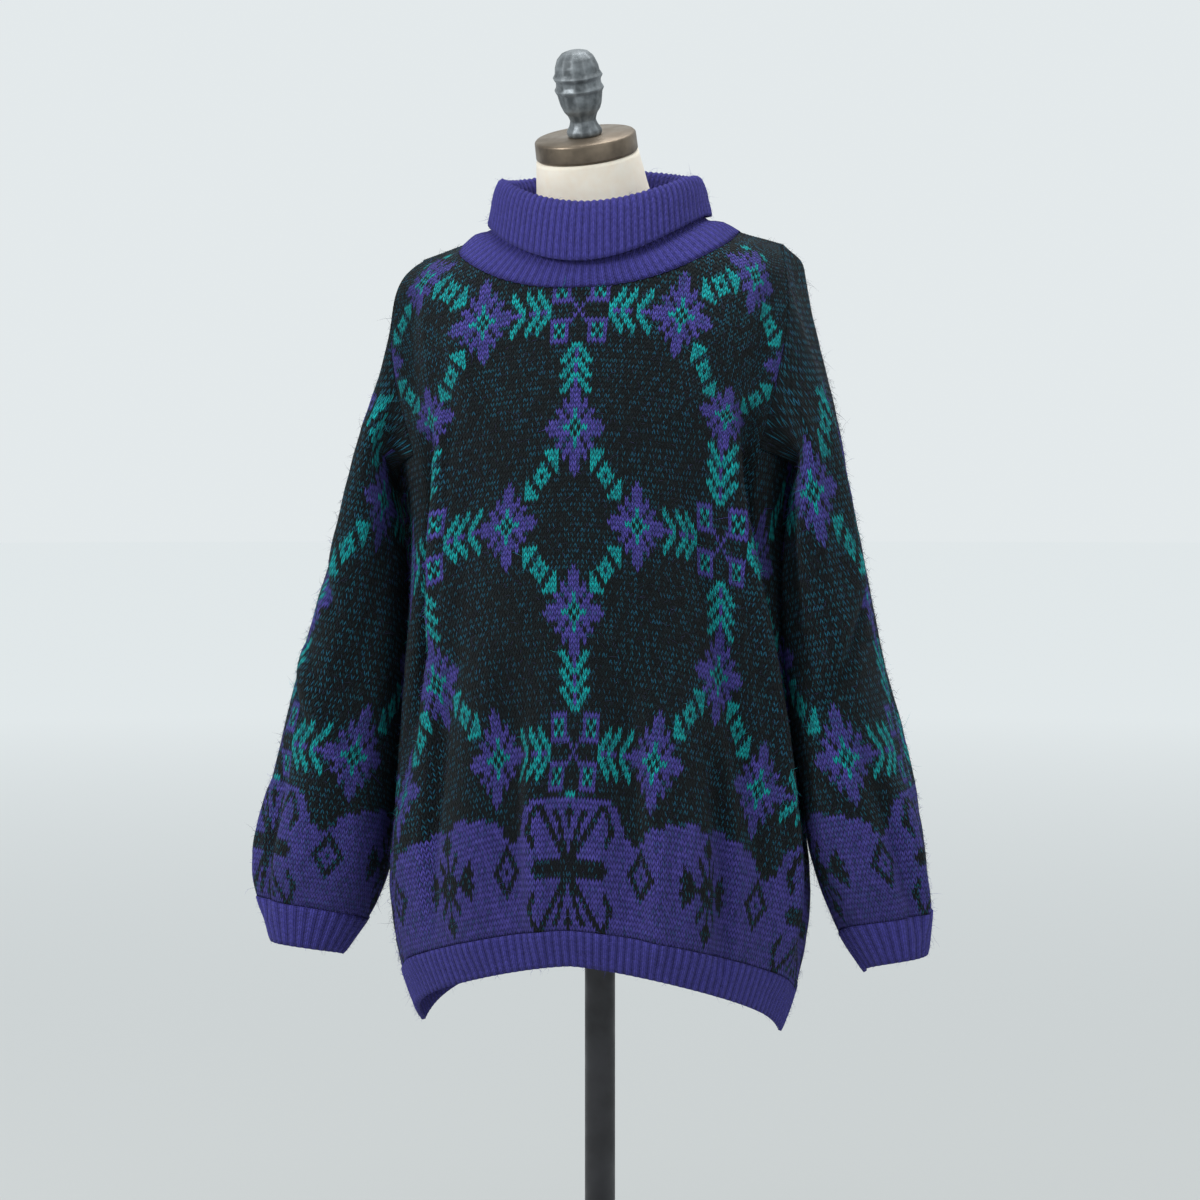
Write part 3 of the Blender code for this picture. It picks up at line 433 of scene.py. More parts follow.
# The dress form: outlines from its flat underside to the neck. `tilt` lowers the front.
Outline = namedtuple("Outline", "z half_width front back shift_x shift_y tilt roll")
FORM = [Outline(*line) for line in (
    (0.7, 0.15, 0.098, 0.104, 0, 0, 0, 0),
    (0.71, 0.16, 0.106, 0.113, 0, 0, 0, 0),
    (0.78, 0.171, 0.112, 0.124, 0, 0, 0, 0),
    (0.86, 0.17, 0.112, 0.122, 0, 0, 0, 0),
    (0.94, 0.15, 0.104, 0.104, 0, 0, 0, 0),
    (1.02, 0.126, 0.094, 0.086, 0, 0, 0, 0),
    (1.09, 0.134, 0.106, 0.092, 0, 0, 0, 0),
    (1.15, 0.15, 0.126, 0.104, 0, 0, 0, 0),
    (1.2, 0.162, 0.128, 0.112, 0, 0, 0, 0.01),
    (1.25, 0.172, 0.108, 0.114, 0, 0, 0, 0.02),
    (1.3, 0.178, 0.084, 0.106, 0, 0, 0, 0.03),
    (1.335, 0.181, 0.062, 0.086, 0, 0.004, 0, 0.03),
    (1.3621, 0.177, 0.042, 0.062, 0, 0.008, 0, 0.03),
    (1.3791, 0.162, 0.03, 0.044, 0, 0.009, 0, 0.03),
    (1.3878, 0.138, 0.034, 0.042, 0, 0.006, 0, 0.03),
    (1.3966, 0.1, 0.044, 0.048, -0.001, 0.002, 0.02, 0.03),
    (1.412, 0.069, 0.052, 0.054, -0.003, -0.002, 0.06, 0.04),
    (1.434, 0.06, 0.052, 0.054, -0.006, -0.005, 0.15, 0.05),
    (1.457, 0.056, 0.051, 0.053, -0.009, -0.009, 0.26, 0.06),
    (1.4755, 0.053, 0.05, 0.051, -0.011, -0.013, 0.33, 0.07),
)]
FORM_ROUNDNESS = 2.1
FIT_GAP = 0.0003  # between pieces that stand on each other

# Turned shapes, as (radius, height) from the bottom up
CAP_PROFILE = [(0.0508, 0), (0.0534, 0.002), (0.053, 0.019), (0.051, 0.021)]
FINIAL_SIDES = 12
FINIAL_PROFILE = [
    (0.0172, 0), (0.0188, 0.0022), (0.0186, 0.0056), (0.0154, 0.0104), (0.0136, 0.0156),
    (0.0146, 0.0192), (0.016, 0.0226), (0.0196, 0.0272), (0.0218, 0.033), (0.023, 0.0388),
    (0.024, 0.0446), (0.0264, 0.0486), (0.024, 0.0524), (0.0236, 0.0572), (0.0266, 0.0618),
    (0.0238, 0.0656), (0.0228, 0.0724), (0.0196, 0.0806), (0.0136, 0.0866), (0.007, 0.0884),
]
POLE_RADIUS = 0.016
FLANGE_RADIUS = 0.070
FLANGE_HEIGHT = 0.016
BASE_PROFILE = [
    (0.205, 0), (0.21, 0.004), (0.21, 0.012), (0.202, 0.017), (0.08, 0.024),
    (0.038, 0.031), (0.029, 0.043), (0.027, 0.07), (0.0245, 0.074),
]


# --- curves through tables and polylines


def hermite(start, end, leave, arrive, t):
    """A curve from start to end that leaves and arrives with the given tangents."""
    return (
        start * (2 * t**3 - 3 * t**2 + 1)
        + end * (3 * t**2 - 2 * t**3)
        + leave * (t**3 - 2 * t**2 + t)
        + arrive * (t**3 - t**2)
    )


def smooth(knots, values, places):
    """Read a smooth curve, which passes through the values at the knots, at some places."""
    knots, values = np.asarray(knots, float), np.asarray(values, float)
    places = np.clip(np.asarray(places, float), knots[0], knots[-1])
    steps = np.diff(knots).reshape((-1,) + (1,) * (values.ndim - 1))
    slopes = np.diff(values, axis=0) / steps
    before, after = steps[:-1], steps[1:]
    inner = (slopes[:-1] * after + slopes[1:] * before) / (before + after)
    tangents = np.concatenate([slopes[:1], inner, slopes[-1:]])
    span = np.clip(np.searchsorted(knots, places, side="right") - 1, 0, len(steps) - 1)
    width = steps[span]
    t = (places - knots[span]).reshape(width.shape) / width
    leave, arrive = tangents[span] * width, tangents[span + 1] * width
    return hermite(values[span], values[span + 1], leave, arrive, t)


def table_at(table, place):
    """A table's columns at a place between its rows. Its first column holds the places."""
    return type(table[0])(*smooth([line[0] for line in table], table, [place])[0])


def running(steps):
    """How far each point is from the first, from the steps between them."""
    return np.concatenate([[0.0], np.cumsum(steps)])


def lengths_along(points):
    return running(np.linalg.norm(np.diff(points, axis=0), axis=1))


def along_line(points, lengths, places):
    """Points at some lengths along a polyline."""
    return np.stack([np.interp(places, lengths, column) for column in points.T], axis=1)


def round_shape(degrees, roundness):
    """(sine, cosine) of a squared-off circle."""
    angle = np.radians(degrees)
    waves = np.stack([np.sin(angle), np.cos(angle)])
    return np.sign(waves) * np.abs(waves) ** (2 / roundness)


def fold_heights(folds, places, row):
    """How far some folds push the knitting out, at places along one of its rows."""
    heights = np.zeros(len(places))
    for top_place, top_row, low_place, low_row, half_width, height in folds:
        share = (top_row - row) / (top_row - low_row)
        if not 0 < share < 1:
            continue
        middle = top_place + share * (low_place - top_place)
        distance = np.clip((places - middle) / half_width, -1, 1)
        fade = math.sin(math.pi * share) ** FOLD_FADE_POWER
        heights += height * fade * (0.5 + 0.5 * np.cos(np.pi * distance))
    return heights


def pushed(plan, outward, heights):
    """A flat curve whose points move out, square to it."""
    along = np.gradient(plan, axis=0)
    facing = np.stack([along[:, 1], -along[:, 0]], axis=1) * outward
    facing /= np.linalg.norm(facing, axis=1)[:, None]
    return plan + facing * heights[:, None]


def folded(plan, outward, reach, row, folds, fade_power):
    """Where the stitches of a flat curve lie along it, and the curve with folds and creases."""
    length = lengths_along(plan)
    place = (2 * length / length[-1] - 1) * reach
    fade = 1 - (np.abs(place) / reach) ** fade_power
    heights, creases = (fold_heights(found, place, row) * fade for found in folds)
    plan = pushed(plan, outward, heights)
    return lengths_along(plan), pushed(plan, outward, creases)


# --- the knitted surfaces


def body_row(panel, columns, row):
    """Points of one knitted row of the front or back at the given columns."""
    level = table_at(BODY, row)
    front = panel == "front"
    depth = -level.front if front else level.back
    across, out = round_shape(np.linspace(-90, 90, CURVE_POINTS), BODY_ROUNDNESS)
    plan = np.stack([level.half_width * across, depth * out], axis=1)
    folds = FOLDS[panel], CREASES[panel]
    length, plan = folded(plan, 1 if front else -1, SIDE_COLUMN, row, folds, SIDE_FADE_POWER)
    share = np.asarray(columns, float) / SIDE_COLUMN
    x, y = along_line(plan, length, (share + 1) / 2 * length[-1]).T
    middle_z = level.front_z if front else level.back_z
    sag = np.abs(share) ** BODY_SAG_POWER
    return np.stack([x, y, middle_z + (level.side_z - middle_z) * sag + level.roll * x], axis=1)


def neck_row(panel, column):
    """The row at which a column of the front or back meets the collar."""
    inside = max(0.0, 1 - (column / NECK_COLUMN) ** 2)
    return SHOULDER_ROW - NECK_DIP[panel] * math.sqrt(inside)


def half_armhole(panel, side):
    """Its edge on one panel, from the shoulder down to the corner and in to the side seam."""
    sign = SIDE_SIGN[side]
    rows = range(SHOULDER_ROW, UNDERARM_ROW, -1)
    edge = [body_row(panel, [sign * ARMHOLE_COLUMN], row)[0] for row in rows]
    columns = np.arange(ARMHOLE_COLUMN, SIDE_COLUMN + 1) * sign
    return np.concatenate([edge, body_row(panel, columns, UNDERARM_ROW)])


def armhole_points(side, turns):
    front = half_armhole("front", side)
    back = half_armhole("back", side)
    edge = np.concatenate([back[::-1], front[1:]])
    lengths = lengths_along(edge)
    back_length = lengths_along(back)[-1]
    reach = np.where(turns < 0, back_length, lengths[-1] - back_length)
    return along_line(edge, lengths, back_length + turns * reach)


def sleeve_ring(side, turns, row):
    """Points of one knitted row of a sleeve, below its head."""
    ring = table_at(SLEEVES[side], row)
    degrees = np.linspace(-180, 180, CURVE_POINTS)
    roundness = np.where(np.abs(degrees) > 90, ring.inner_roundness, SLEEVE_ROUNDNESS)
    across, out = round_shape(degrees, roundness)
    middle_x = (ring.outer_x + ring.inner_x) / 2
    half_x = (ring.outer_x - ring.inner_x) / 2
    plan = np.stack([middle_x + half_x * out, ring.middle_y - ring.half_depth * across], axis=1)
    folds = SLEEVE_FOLDS[side], SLEEVE_CREASES[side]
    length, plan = folded(plan, -1, 1, row, folds, math.inf)
    x, y = along_line(plan, length, (turns + 1) / 2 * length[-1]).T
    z = ring.outer_z + (ring.inner_z - ring.outer_z) * np.abs(turns) ** SLEEVE_SAG_POWER
    return np.stack([x * SIDE_SIGN[side], y, z], axis=1)


def sleeve_head(side, turns, share):
    """Points between the sleeve's last full row (share 0) and the armhole (share 1)."""
    start = sleeve_ring(side, turns, CAP_START_ROW)
    end = armhole_points(side, turns)
    rows = cap_row(turns) - CAP_START_ROW
    rise = (start - sleeve_ring(side, turns, CAP_START_ROW - 1)) * rows[:, None]
    near_top = cap_nearness(turns)
    near_seam = np.clip((np.abs(turns) - CAP_SHARE) / (1 - CAP_SHARE), 0, 1)
    arch_x, arch_z = np.outer(CAP_BULGE, near_top) + np.outer(UNDERARM_ARCH, near_seam)
    arrive = end - start - np.stack([SIDE_SIGN[side] * arch_x, 0 * turns, arch_z], axis=1)
    return hermite(start, end, rise, arrive, share)


def cap_nearness(turns):
    """1 at the top of the sleeve's head, falling smoothly to 0 at its side."""
    return np.cos(np.clip(turns / CAP_SHARE, -1, 1) * math.pi / 2) ** 2


def cap_row(turns):
    """The sleeve's top row at some turns: high on the shoulder, low at the underarm."""
    return CAP_SIDE_ROW + (CAP_TOP_ROW - CAP_SIDE_ROW) * cap_nearness(turns)


def collar_hoop(hoop, shares):
    """Points round one level of the collar, from its front middle to the viewer's right."""
    across, out = round_shape(np.linspace(0, 360, CURVE_POINTS), 2)
    depth = np.where(out > 0, hoop.front, hoop.back)
    middle_z = np.where(out > 0, hoop.front_z, hoop.back_z)
    x, y = hoop.half_width * across, -depth * out
    z = hoop.side_z + (middle_z - hoop.side_z) * out**2 + hoop.roll * x
    ring = np.stack([x, y, z], axis=1)
    lengths = lengths_along(ring)
    return along_line(ring, lengths, shares * lengths[-1])


# --- charts


def cells(lines, left, top):
    """The marked stitches of a chart as (column, row, mark), from its upper left stitch."""
    return [
        (left + k, top - line, mark)
        for line, text in enumerate(lines)
        for k, mark in enumerate(text)
        if mark != "."
    ]


def mirrored(found):
    """A motif with its images to the left and below."""
    return [(x * c, y * r, mark) for c, r, mark in found for x in (1, -1) for y in (1, -1)]


def moved(found, column, row):
    return [(c + column, r + row, mark) for c, r, mark in found]


def turned(found):
    """A motif turned a quarter to the left."""
    return [(-r, c, mark) for c, r, mark in found]


def flower_cells():
    petal = cells(FLOWER_PETAL, -8, 8)
    found = []
    for _ in range(4):
        found += petal
        petal = turned(petal)
    return found


def block_cells():
    """A block of four squares round a small cross, with chevrons that point at it."""
    found = mirrored(cells(BLOCK_SQUARE, 3, 6) + [(0, 0, "v"), (1, 1, "v"), (2, 2, "v")])
    across, up = CHEVRON_STARTS
    for start in up:
        below = cells(CHEVRON, -4, -start)
        found += below + [(c, -r, mark) for c, r, mark in below]
    for start in across:
        below = turned(cells(CHEVRON, -4, -start))
        found += below + [(-c, r, mark) for c, r, mark in below]
    return found


def lattice_cells():
    """What one block brings with it: its flowers and the links between them."""
    across, up = FLOWER_STEP
    found = block_cells()
    for column, row in ((across, 0), (-across, 0), (0, up), (0, -up)):
        found += moved(flower_cells(), column, row)
    link = cells(LINK, -4, 4)
    leaning_left = [(-c, r, mark) for c, r, mark in link]
    for column, row in LINK_STEPS:
        found += moved(link, column, row) + moved(link, -column, -row)
        found += moved(leaning_left, -column, row) + moved(leaning_left, column, -row)
    return found


def band_cells():
    """The dark motifs of the border band, over one repeat."""
    hooked = mirrored(cells(HOOKED_MOTIF, 0, 10)) + mirrored(cells(HOOKED_BAR, 0, 1))
    snowflake = mirrored(cells(SNOWFLAKE, 0, 9))
    diamond = mirrored(cells(DIAMOND, 0, 4))
    quarter = BLOCK_STEP[0] // 2
    found = hooked + moved(snowflake, BLOCK_STEP[0], 0)
    return found + moved(diamond, quarter, 0) + moved(diamond, -quarter, 0)


def band_top(columns):
    """The highest violet row of the border band at each column."""
    repeat = 2 * BLOCK_STEP[0]
    distance = np.abs((columns + BLOCK_STEP[0]) % repeat - BLOCK_STEP[0])
    starts, tops = zip(*BAND_TOP)
    return np.array(tops)[np.searchsorted(starts, distance, side="right") - 1]


def draw_chart(reach, top_row, pattern_top):
    """The yarn of each stitch, from the bottom row up, out to `reach` columns either way."""
    columns = np.arange(-reach, reach + 1)
    rows = np.arange(BOTTOM_ROW, top_row + 1)
    chart = np.full((len(rows), len(columns)), YARN_CODES["g"])

    def stamp(found, column, row, top):
        for c, r, mark in moved(found, column, row):
            if abs(c) <= reach and BOTTOM_ROW <= r <= top:
                chart[r - BOTTOM_ROW, c + reach] = YARN_CODES[mark]

    lattice, band = lattice_cells(), band_cells()
    # the lowest blocks have no links below them, where the border band begins
    edge, row = LOWEST_LINK
    lowest = [cell for cell in lattice if cell[1] > (row if abs(cell[0]) > edge else LOWEST_ROW)]
    across, up = BLOCK_STEP
    for m in range(-3, 4):
        for n in range(-2, 2):
            if (m + n) % 2 == 0:
                stamp(lowest if n == -2 else lattice, m * across, n * up, pattern_top)
    chart[rows[:, None] <= band_top(columns)] = YARN_CODES["v"]
    for m in (-2, 0, 2):
        stamp(band, m * across, BAND_ROW, SHOULDER_ROW)
    return chart


# --- surfaces and the meshes made from them


class Surface:
    """A grid of quads before it has its thickness.

    `numbers` gives each place in the grid its point; places that share a point have closed up.
    """

    def __init__(self, points, numbers, across, up, closed=False, flip=False):
        if closed:
            numbers = np.append(numbers, numbers[:, :1], axis=1)
            across = np.append(across, across[-1] + (across[1] - across[0]))
            up = np.append(up, up[:, :1], axis=1)
        self.points = points
        self.flip = flip
        self.faces = quad_corners(numbers)
        across = np.broadcast_to(across, up.shape)
        self.places = np.stack([quad_corners(across), quad_corners(up)], axis=-1)
        self.yarns = np.zeros(self.faces.shape[:2], int)
        self.kept = np.ones(self.faces.shape[:2], bool)
        self.outer_relief = self.inner_relief = np.zeros(len(points))

    def settle(self):
        """Keep the faces that are there, as flat lists, and find the border and normals."""
        faces, places, yarns = self.faces[self.kept], self.places[self.kept], self.yarns[self.kept]
        if self.flip:
            faces, places = faces[:, ::-1], places[:, ::-1]
        real = (faces != np.roll(faces, -1, axis=1)).sum(axis=1) > 2
        self.faces, self.places, self.yarns = faces[real], places[real], yarns[real]
        ahead = np.roll(self.faces, -1, axis=1)
        solid = self.faces != ahead
        directed = self.faces * len(self.points) + ahead
        opposite = ahead * len(self.points) + self.faces
        self.border = np.nonzero(solid & ~np.isin(directed, opposite[solid]))
        self.border_a, self.border_b = self.faces[self.border], ahead[self.border]
        a, b, c, d = (self.points[corners] for corners in self.faces.T)
        facing = np.cross(c - a, d - b)
        normals = np.zeros_like(self.points)
        for corners in self.faces.T:
            np.add.at(normals, corners, facing)
        self.normals = unit(normals)
        return self

    def inset(self):
        """Each border point's move away from the seams that it lies on."""
        a, b = self.border_a, self.border_b
        moves = np.zeros_like(self.points)
        along = self.points[b] - self.points[a]
        inward = unit(np.cross(self.normals[a] + self.normals[b], along))
        for ends in (a, b):
            np.add.at(moves, ends, inward)
        edge = np.unique(a)
        moves[edge] = unit(moves[edge]) * SEAM_INSET
        return moves


def quad_corners(values):
    """The values of a grid at the four corners of each of its quads."""
    return np.stack([values[:-1, :-1], values[:-1, 1:], values[1:, 1:], values[1:, :-1]], axis=2)


def unit(vectors):
    return vectors / np.maximum(np.linalg.norm(vectors, axis=-1, keepdims=True), 1e-12)


def share_seam_normals(surfaces):
    """Turn the normals along each seam to the mean of the pieces that meet there."""
    edges = [(n, point) for n, found in enumerate(surfaces) for point in np.unique(found.border_a)]
    facing = [surfaces[n].normals[point] for n, point in edges]
    tree = KDTree(len(edges))
    for k, (n, point) in enumerate(edges):
        tree.insert(surfaces[n].points[point], k)
    tree.balance()
    for n, point in edges:
        near = tree.find_range(surfaces[n].points[point], SEAM_REACH)
        others = [facing[k] for _, k, _ in near if edges[k][0] != n]
        if others:
            own = surfaces[n].normals[point]
            surfaces[n].normals[point] = unit(own + unit(np.mean(others, axis=0)))


def make_wall(name, surface, thickness):
    """A surface with its thickness: an outer and an inner face, joined round the border."""
    middle = surface.points + surface.inset()
    outer = middle + surface.normals * (thickness / 2 + surface.outer_relief)[:, None]
    inner = middle - surface.normals * (thickness / 2 + surface.inner_relief)[:, None]
    count = len(middle)
    a, b = surface.border_a, surface.border_b
    rim = np.stack([b, a, a + count, b + count], axis=1)
    face, corner = surface.border
    place_a, place_b = surface.places[face, corner], surface.places[face, (corner + 1) % 4]
    rim_places = np.stack([place_b, place_a, place_a, place_b], axis=1)
    faces = np.concatenate([surface.faces, surface.faces[:, ::-1] + count, rim])
    places = np.concatenate([surface.places, surface.places[:, ::-1], rim_places])
    yarns = np.concatenate([surface.yarns, surface.yarns, surface.yarns[face]])
    return make_mesh(name, np.concatenate([outer, inner]), faces, places, yarns)


def make_mesh(name, points, faces, places=None, yarns=None):
    """A smooth mesh from quads, some with two corners in one, and their maps."""
    solid = faces != np.roll(faces, -1, axis=1)
    sizes = solid.sum(axis=1)
    starts = np.concatenate([[0], np.cumsum(sizes)[:-1]])
    mesh = bpy.data.meshes.new(name)
    mesh.vertices.add(len(points))
    mesh.vertices.foreach_set("co", np.ravel(points))
    mesh.loops.add(int(sizes.sum()))
    mesh.loops.foreach_set("vertex_index", faces[solid].astype(np.int32))
    mesh.polygons.add(len(faces))
    mesh.polygons.foreach_set("loop_start", starts.astype(np.int32))
    mesh.update(calc_edges=True)
    if places is not None:
        layer = mesh.uv_layers.new(name="Stitches")
        layer.data.foreach_set("uv", places[solid].astype(np.float32).ravel())
    if yarns is not None:
        corners = np.repeat(np.array(list(YARNS.values()))[yarns], sizes, axis=0)
        attribute = mesh.color_attributes.new("Yarn", "FLOAT_COLOR", "CORNER")
        attribute.data.foreach_set("color", corners.astype(np.float32).ravel())
    mesh.shade_smooth()
    return add_object(name, mesh)


def add_object(name, data):
    obj = bpy.data.objects.new(name, data)
    bpy.context.scene.collection.objects.link(obj)
    return obj


def aim(obj, place, target):
    """Put a light or the camera at its place and turn it to what it looks at."""
    obj.location = place
    obj.rotation_euler = (Vector(target) - Vector(place)).to_track_quat("-Z", "Y").to_euler()


# --- the two-colour knit


def shape_columns(stitch, row):
    """The shape tables' columns of a panel's stitches at one row."""
    drape = table_at(DRAPES, row)
    columns = np.zeros(len(stitch))
    knots = (0, *DRAPE_STITCHES, STITCHES_TO_SIDE)
    for sign, reaches in ((-1, drape[1:4]), (1, drape[5:8])):
        own = sign * stitch > 0
        columns[own] = sign * smooth(knots, (0, *reaches, SIDE_COLUMN), sign * stitch[own])
    return columns


def sinking(stitch, lines):
    """How many rows each stitch of some lines hangs below its line's height at the middle."""
    table = smooth([drape.row for drape in DRAPES], DRAPES, lines)
    left, right = Drape._fields.index("left_sink"), Drape._fields.index("right_sink")
    full = np.where(stitch < 0, table[:, left, None], table[:, right, None])
    share = np.clip((np.abs(stitch) - SINK_START) / (SINK_END - SINK_START), 0, 1)
    return full * share * share * (3 - 2 * share)


def between_rows(samples, rows):
    """Points at some rows of each column, from samples taken every SAMPLE_STEP rows."""
    place = (rows - BOTTOM_ROW) / SAMPLE_STEP
    below = np.clip(place.astype(int), 0, len(samples) - 2)
    share = (place - below)[..., None]
    column = np.broadcast_to(np.arange(rows.shape[1]), rows.shape)
    return samples[below, column] * (1 - share) + samples[below + 1, column] * share


def knitted(surface, yarns, half_steps):
    """A surface in its yarns, with valleys between the stitches and slightly uneven."""
    x, y, z = surface.points.T
    waves = np.sin(x * 61 + 2.1 * np.sin(z * 47)) * np.sin(z * 83 + 1.7 * np.sin((x + y) * 59))
    relief = UNEVENNESS * waves - WALE_GROOVE * (np.resize(half_steps, len(x)) % 2)
    surface.yarns = yarns
    surface.outer_relief, surface.inner_relief = relief, -relief
    return surface.settle()


def panel_surface(panel):
    """The front or back, closed up beside the armholes and along the neckline."""
    half_steps = np.arange(-2 * STITCHES_TO_SIDE, 2 * STITCHES_TO_SIDE + 1)
    stitch = half_steps / 2
    sample_rows = np.arange(BOTTOM_ROW, SHOULDER_ROW + SAMPLE_STEP, SAMPLE_STEP)
    samples = np.array([body_row(panel, shape_columns(stitch, row), row) for row in sample_rows])
    beyond = np.abs(stitch) > STITCHES_TO_ARMHOLE
    tops = np.full(len(stitch), float(SHOULDER_ROW))
    for _ in range(NECK_ROUNDS):
        places = [shape_columns(stitch[k : k + 1], top)[0] for k, top in enumerate(tops)]
        tops = np.array([neck_row(panel, place) for place in places])
    tops = np.where(beyond, UNDERARM_ROW, tops)
    top_line = SHOULDER_ROW + math.ceil(max(DRAPES[-1].left_sink, DRAPES[-1].right_sink)) + 1
    lines = np.arange(BOTTOM_ROW, top_line + 1)
    legs = lines[:, None] + np.where(half_steps % 2, 0.5, -0.5) * LEG_RISE
    sunk = sinking(stitch, lines)
    rows = legs - sunk
    rows[0] = BOTTOM_ROW
    corner = np.abs(stitch) == STITCHES_TO_ARMHOLE
    rows[lines == UNDERARM_ROW, corner] = UNDERARM_ROW
    rows = np.clip(rows, BOTTOM_ROW, tops)
    closed_at = np.argmax(rows >= tops, axis=0)
    level = np.minimum(np.arange(len(lines))[:, None], closed_at)
    numbers = level * rows.shape[1] + np.arange(rows.shape[1])
    points = between_rows(samples, rows).reshape(-1, 3)
    surface = Surface(points, numbers, stitch, rows + sunk, flip=panel == "back")
    outside = np.maximum(beyond[:-1], beyond[1:])
    surface.kept = ~(outside & (lines[:-1, None] >= UNDERARM_ROW))
    chart = draw_chart(STITCHES_TO_SIDE, top_line, PANEL_PATTERN_TOP)
    chart_columns = (half_steps[:-1] + 1) // 2 + STITCHES_TO_SIDE
    return knitted(surface, chart[: len(lines) - 1, chart_columns], half_steps)


def sleeve_row(line):
    """Where a line of stitches lies among the sleeve's rows."""
    return np.where(line > STRETCH_ROW, STRETCH_ROW + (line - STRETCH_ROW) * SLEEVE_STRETCH, line)


def sleeve_line(row):
    """The line of stitches at one of the sleeve's rows."""
    return np.where(row > STRETCH_ROW, STRETCH_ROW + (row - STRETCH_ROW) / SLEEVE_STRETCH, row)


def twisted(side, stitch, row):
    """Turns of a sleeve's stitches at one of its rows, between -1 and 1."""
    twist = np.interp(row, TWIST_ROWS, SLEEVE_TWISTS[side])
    return ((stitch + twist) / SLEEVE_STITCHES + 1) % 2 - 1


def sleeve_surface(side):
    """A sleeve as a tube, from the cuff up to its head in the armhole."""
    half_steps = np.arange(-2 * SLEEVE_STITCHES, 2 * SLEEVE_STITCHES)
    stitch = half_steps / 2
    sample_rows = np.arange(BOTTOM_ROW, CAP_START_ROW + SAMPLE_STEP, SAMPLE_STEP)
    samples = np.array([sleeve_ring(side, twisted(side, stitch, row), row) for row in sample_rows])
    lines = np.arange(BOTTOM_ROW, math.ceil(sleeve_line(CAP_START_ROW)) + 1)
    rows = sleeve_row(lines[:, None] + np.where(half_steps % 2, 0.5, -0.5) * LEG_RISE)
    rows[0], rows[-1] = BOTTOM_ROW, CAP_START_ROW
    rows = np.clip(rows, BOTTOM_ROW, CAP_START_ROW)
    turns = twisted(side, stitch, CAP_START_ROW)
    shares = np.arange(1, HEAD_STEPS + 1) / HEAD_STEPS
    head = np.array([sleeve_head(side, turns, share) for share in shares])
    head_rows = CAP_START_ROW + shares[:, None] * (cap_row(turns) - CAP_START_ROW)
    points = np.concatenate([between_rows(samples, rows), head]).reshape(-1, 3)
    up = sleeve_line(np.concatenate([rows, head_rows]))
    numbers = np.arange(up.size).reshape(up.shape)
    surface = Surface(points, numbers, stitch, up, closed=True, flip=side == "right")
    chart = draw_chart(SLEEVE_STITCHES, SHOULDER_ROW, SLEEVE_PATTERN_TOP)
    chart_columns = (half_steps + 1) // 2 + SLEEVE_STITCHES
    charted = np.floor(up[:-1]).astype(int) - BOTTOM_ROW
    charted[: len(lines) - 1] = (lines[:-1] - BOTTOM_ROW)[:, None]
    return knitted(surface, chart[charted, chart_columns], half_steps)


# --- the ribbing


def ribbed_surface(rings, ribs, closed, flip):
    """Ribbing from fine rings: its outer ribs lie over the valleys of the inner ones."""
    levels, count = rings.shape[:2]
    numbers = np.arange(levels * count).reshape(levels, count)
    spans = count if closed else count - 1
    across = np.arange(count) * ribs / spans
    steps = np.linalg.norm(np.diff(rings, axis=0), axis=2).mean(axis=1)
    up = np.broadcast_to(-running(steps)[:, None] / ROW_HEIGHT, (levels, count))
    surface = Surface(rings.reshape(-1, 3), numbers, across, up, closed=closed, flip=flip)
    surface.yarns[:] = YARN_CODES["r"]
    wave = 0.5 - 0.5 * np.cos(2 * np.pi * across)
    fade = np.ones(levels)
    fade[-1] = RIB_END_SHARE
    wobble = 1 + RIB_WOBBLE * np.sin(np.arange(levels)[:, None] * 0.9 + across * 2.3)
    height = RIB_RELIEF * fade[:, None] * wobble
    surface.outer_relief = (height * wave**RIB_POWER).ravel()
    surface.inner_relief = (height * (1 - wave) ** RIB_POWER).ravel()
    return surface.settle()


def hem_surface(panel):
    columns = np.linspace(-SIDE_COLUMN, SIDE_COLUMN, HEM_RIBS * RIB_POINTS + 1)
    rows = np.linspace(BOTTOM_ROW, RIB_END_ROW, HEM_LEVELS)
    rings = np.array([body_row(panel, columns, row) for row in rows])
    return ribbed_surface(rings, HEM_RIBS, False, panel == "front")


def cuff_surface(side):
    count = CUFF_RIBS * RIB_POINTS
    turns = 2 * np.arange(count) / count - 1
    rows = np.linspace(BOTTOM_ROW, RIB_END_ROW, CUFF_LEVELS)
    rings = np.array([sleeve_ring(side, turns, row) for row in rows])
    return ribbed_surface(rings, CUFF_RIBS, True, side == "left")


def neck_seam(shares):
    """The line where the collar is sewn on, from the front middle to the viewer's right."""
    columns = np.linspace(-NECK_COLUMN, NECK_COLUMN, NECK_POINTS)
    front, back = (
        np.array([body_row(panel, [column], neck_row(panel, column))[0] for column in columns])
        for panel in ("front", "back")
    )
    middle = len(columns) // 2
    line = np.concatenate([front[middle:], back[::-1][1:], front[1 : middle + 1]])
    lengths = lengths_along(line)
    return along_line(line, lengths, shares * lengths[-1])


def collar_surface():
    """The turtleneck: it flares to the neck seam, rises, and folds over on itself."""
    count = COLLAR_RIBS * RIB_POINTS
    shares = np.arange(count) / count
    hoops = np.array([neck_seam(shares)] + [collar_hoop(hoop, shares) for hoop in COLLAR])
    knots = np.arange(len(hoops))
    places = np.interp(np.arange(sum(COLLAR_STEPS) + 1), running(COLLAR_STEPS), knots)
    rings = smooth(knots, hoops, places)
    return ribbed_surface(rings, COLLAR_RIBS, True, True)


# --- the halo of loose wool


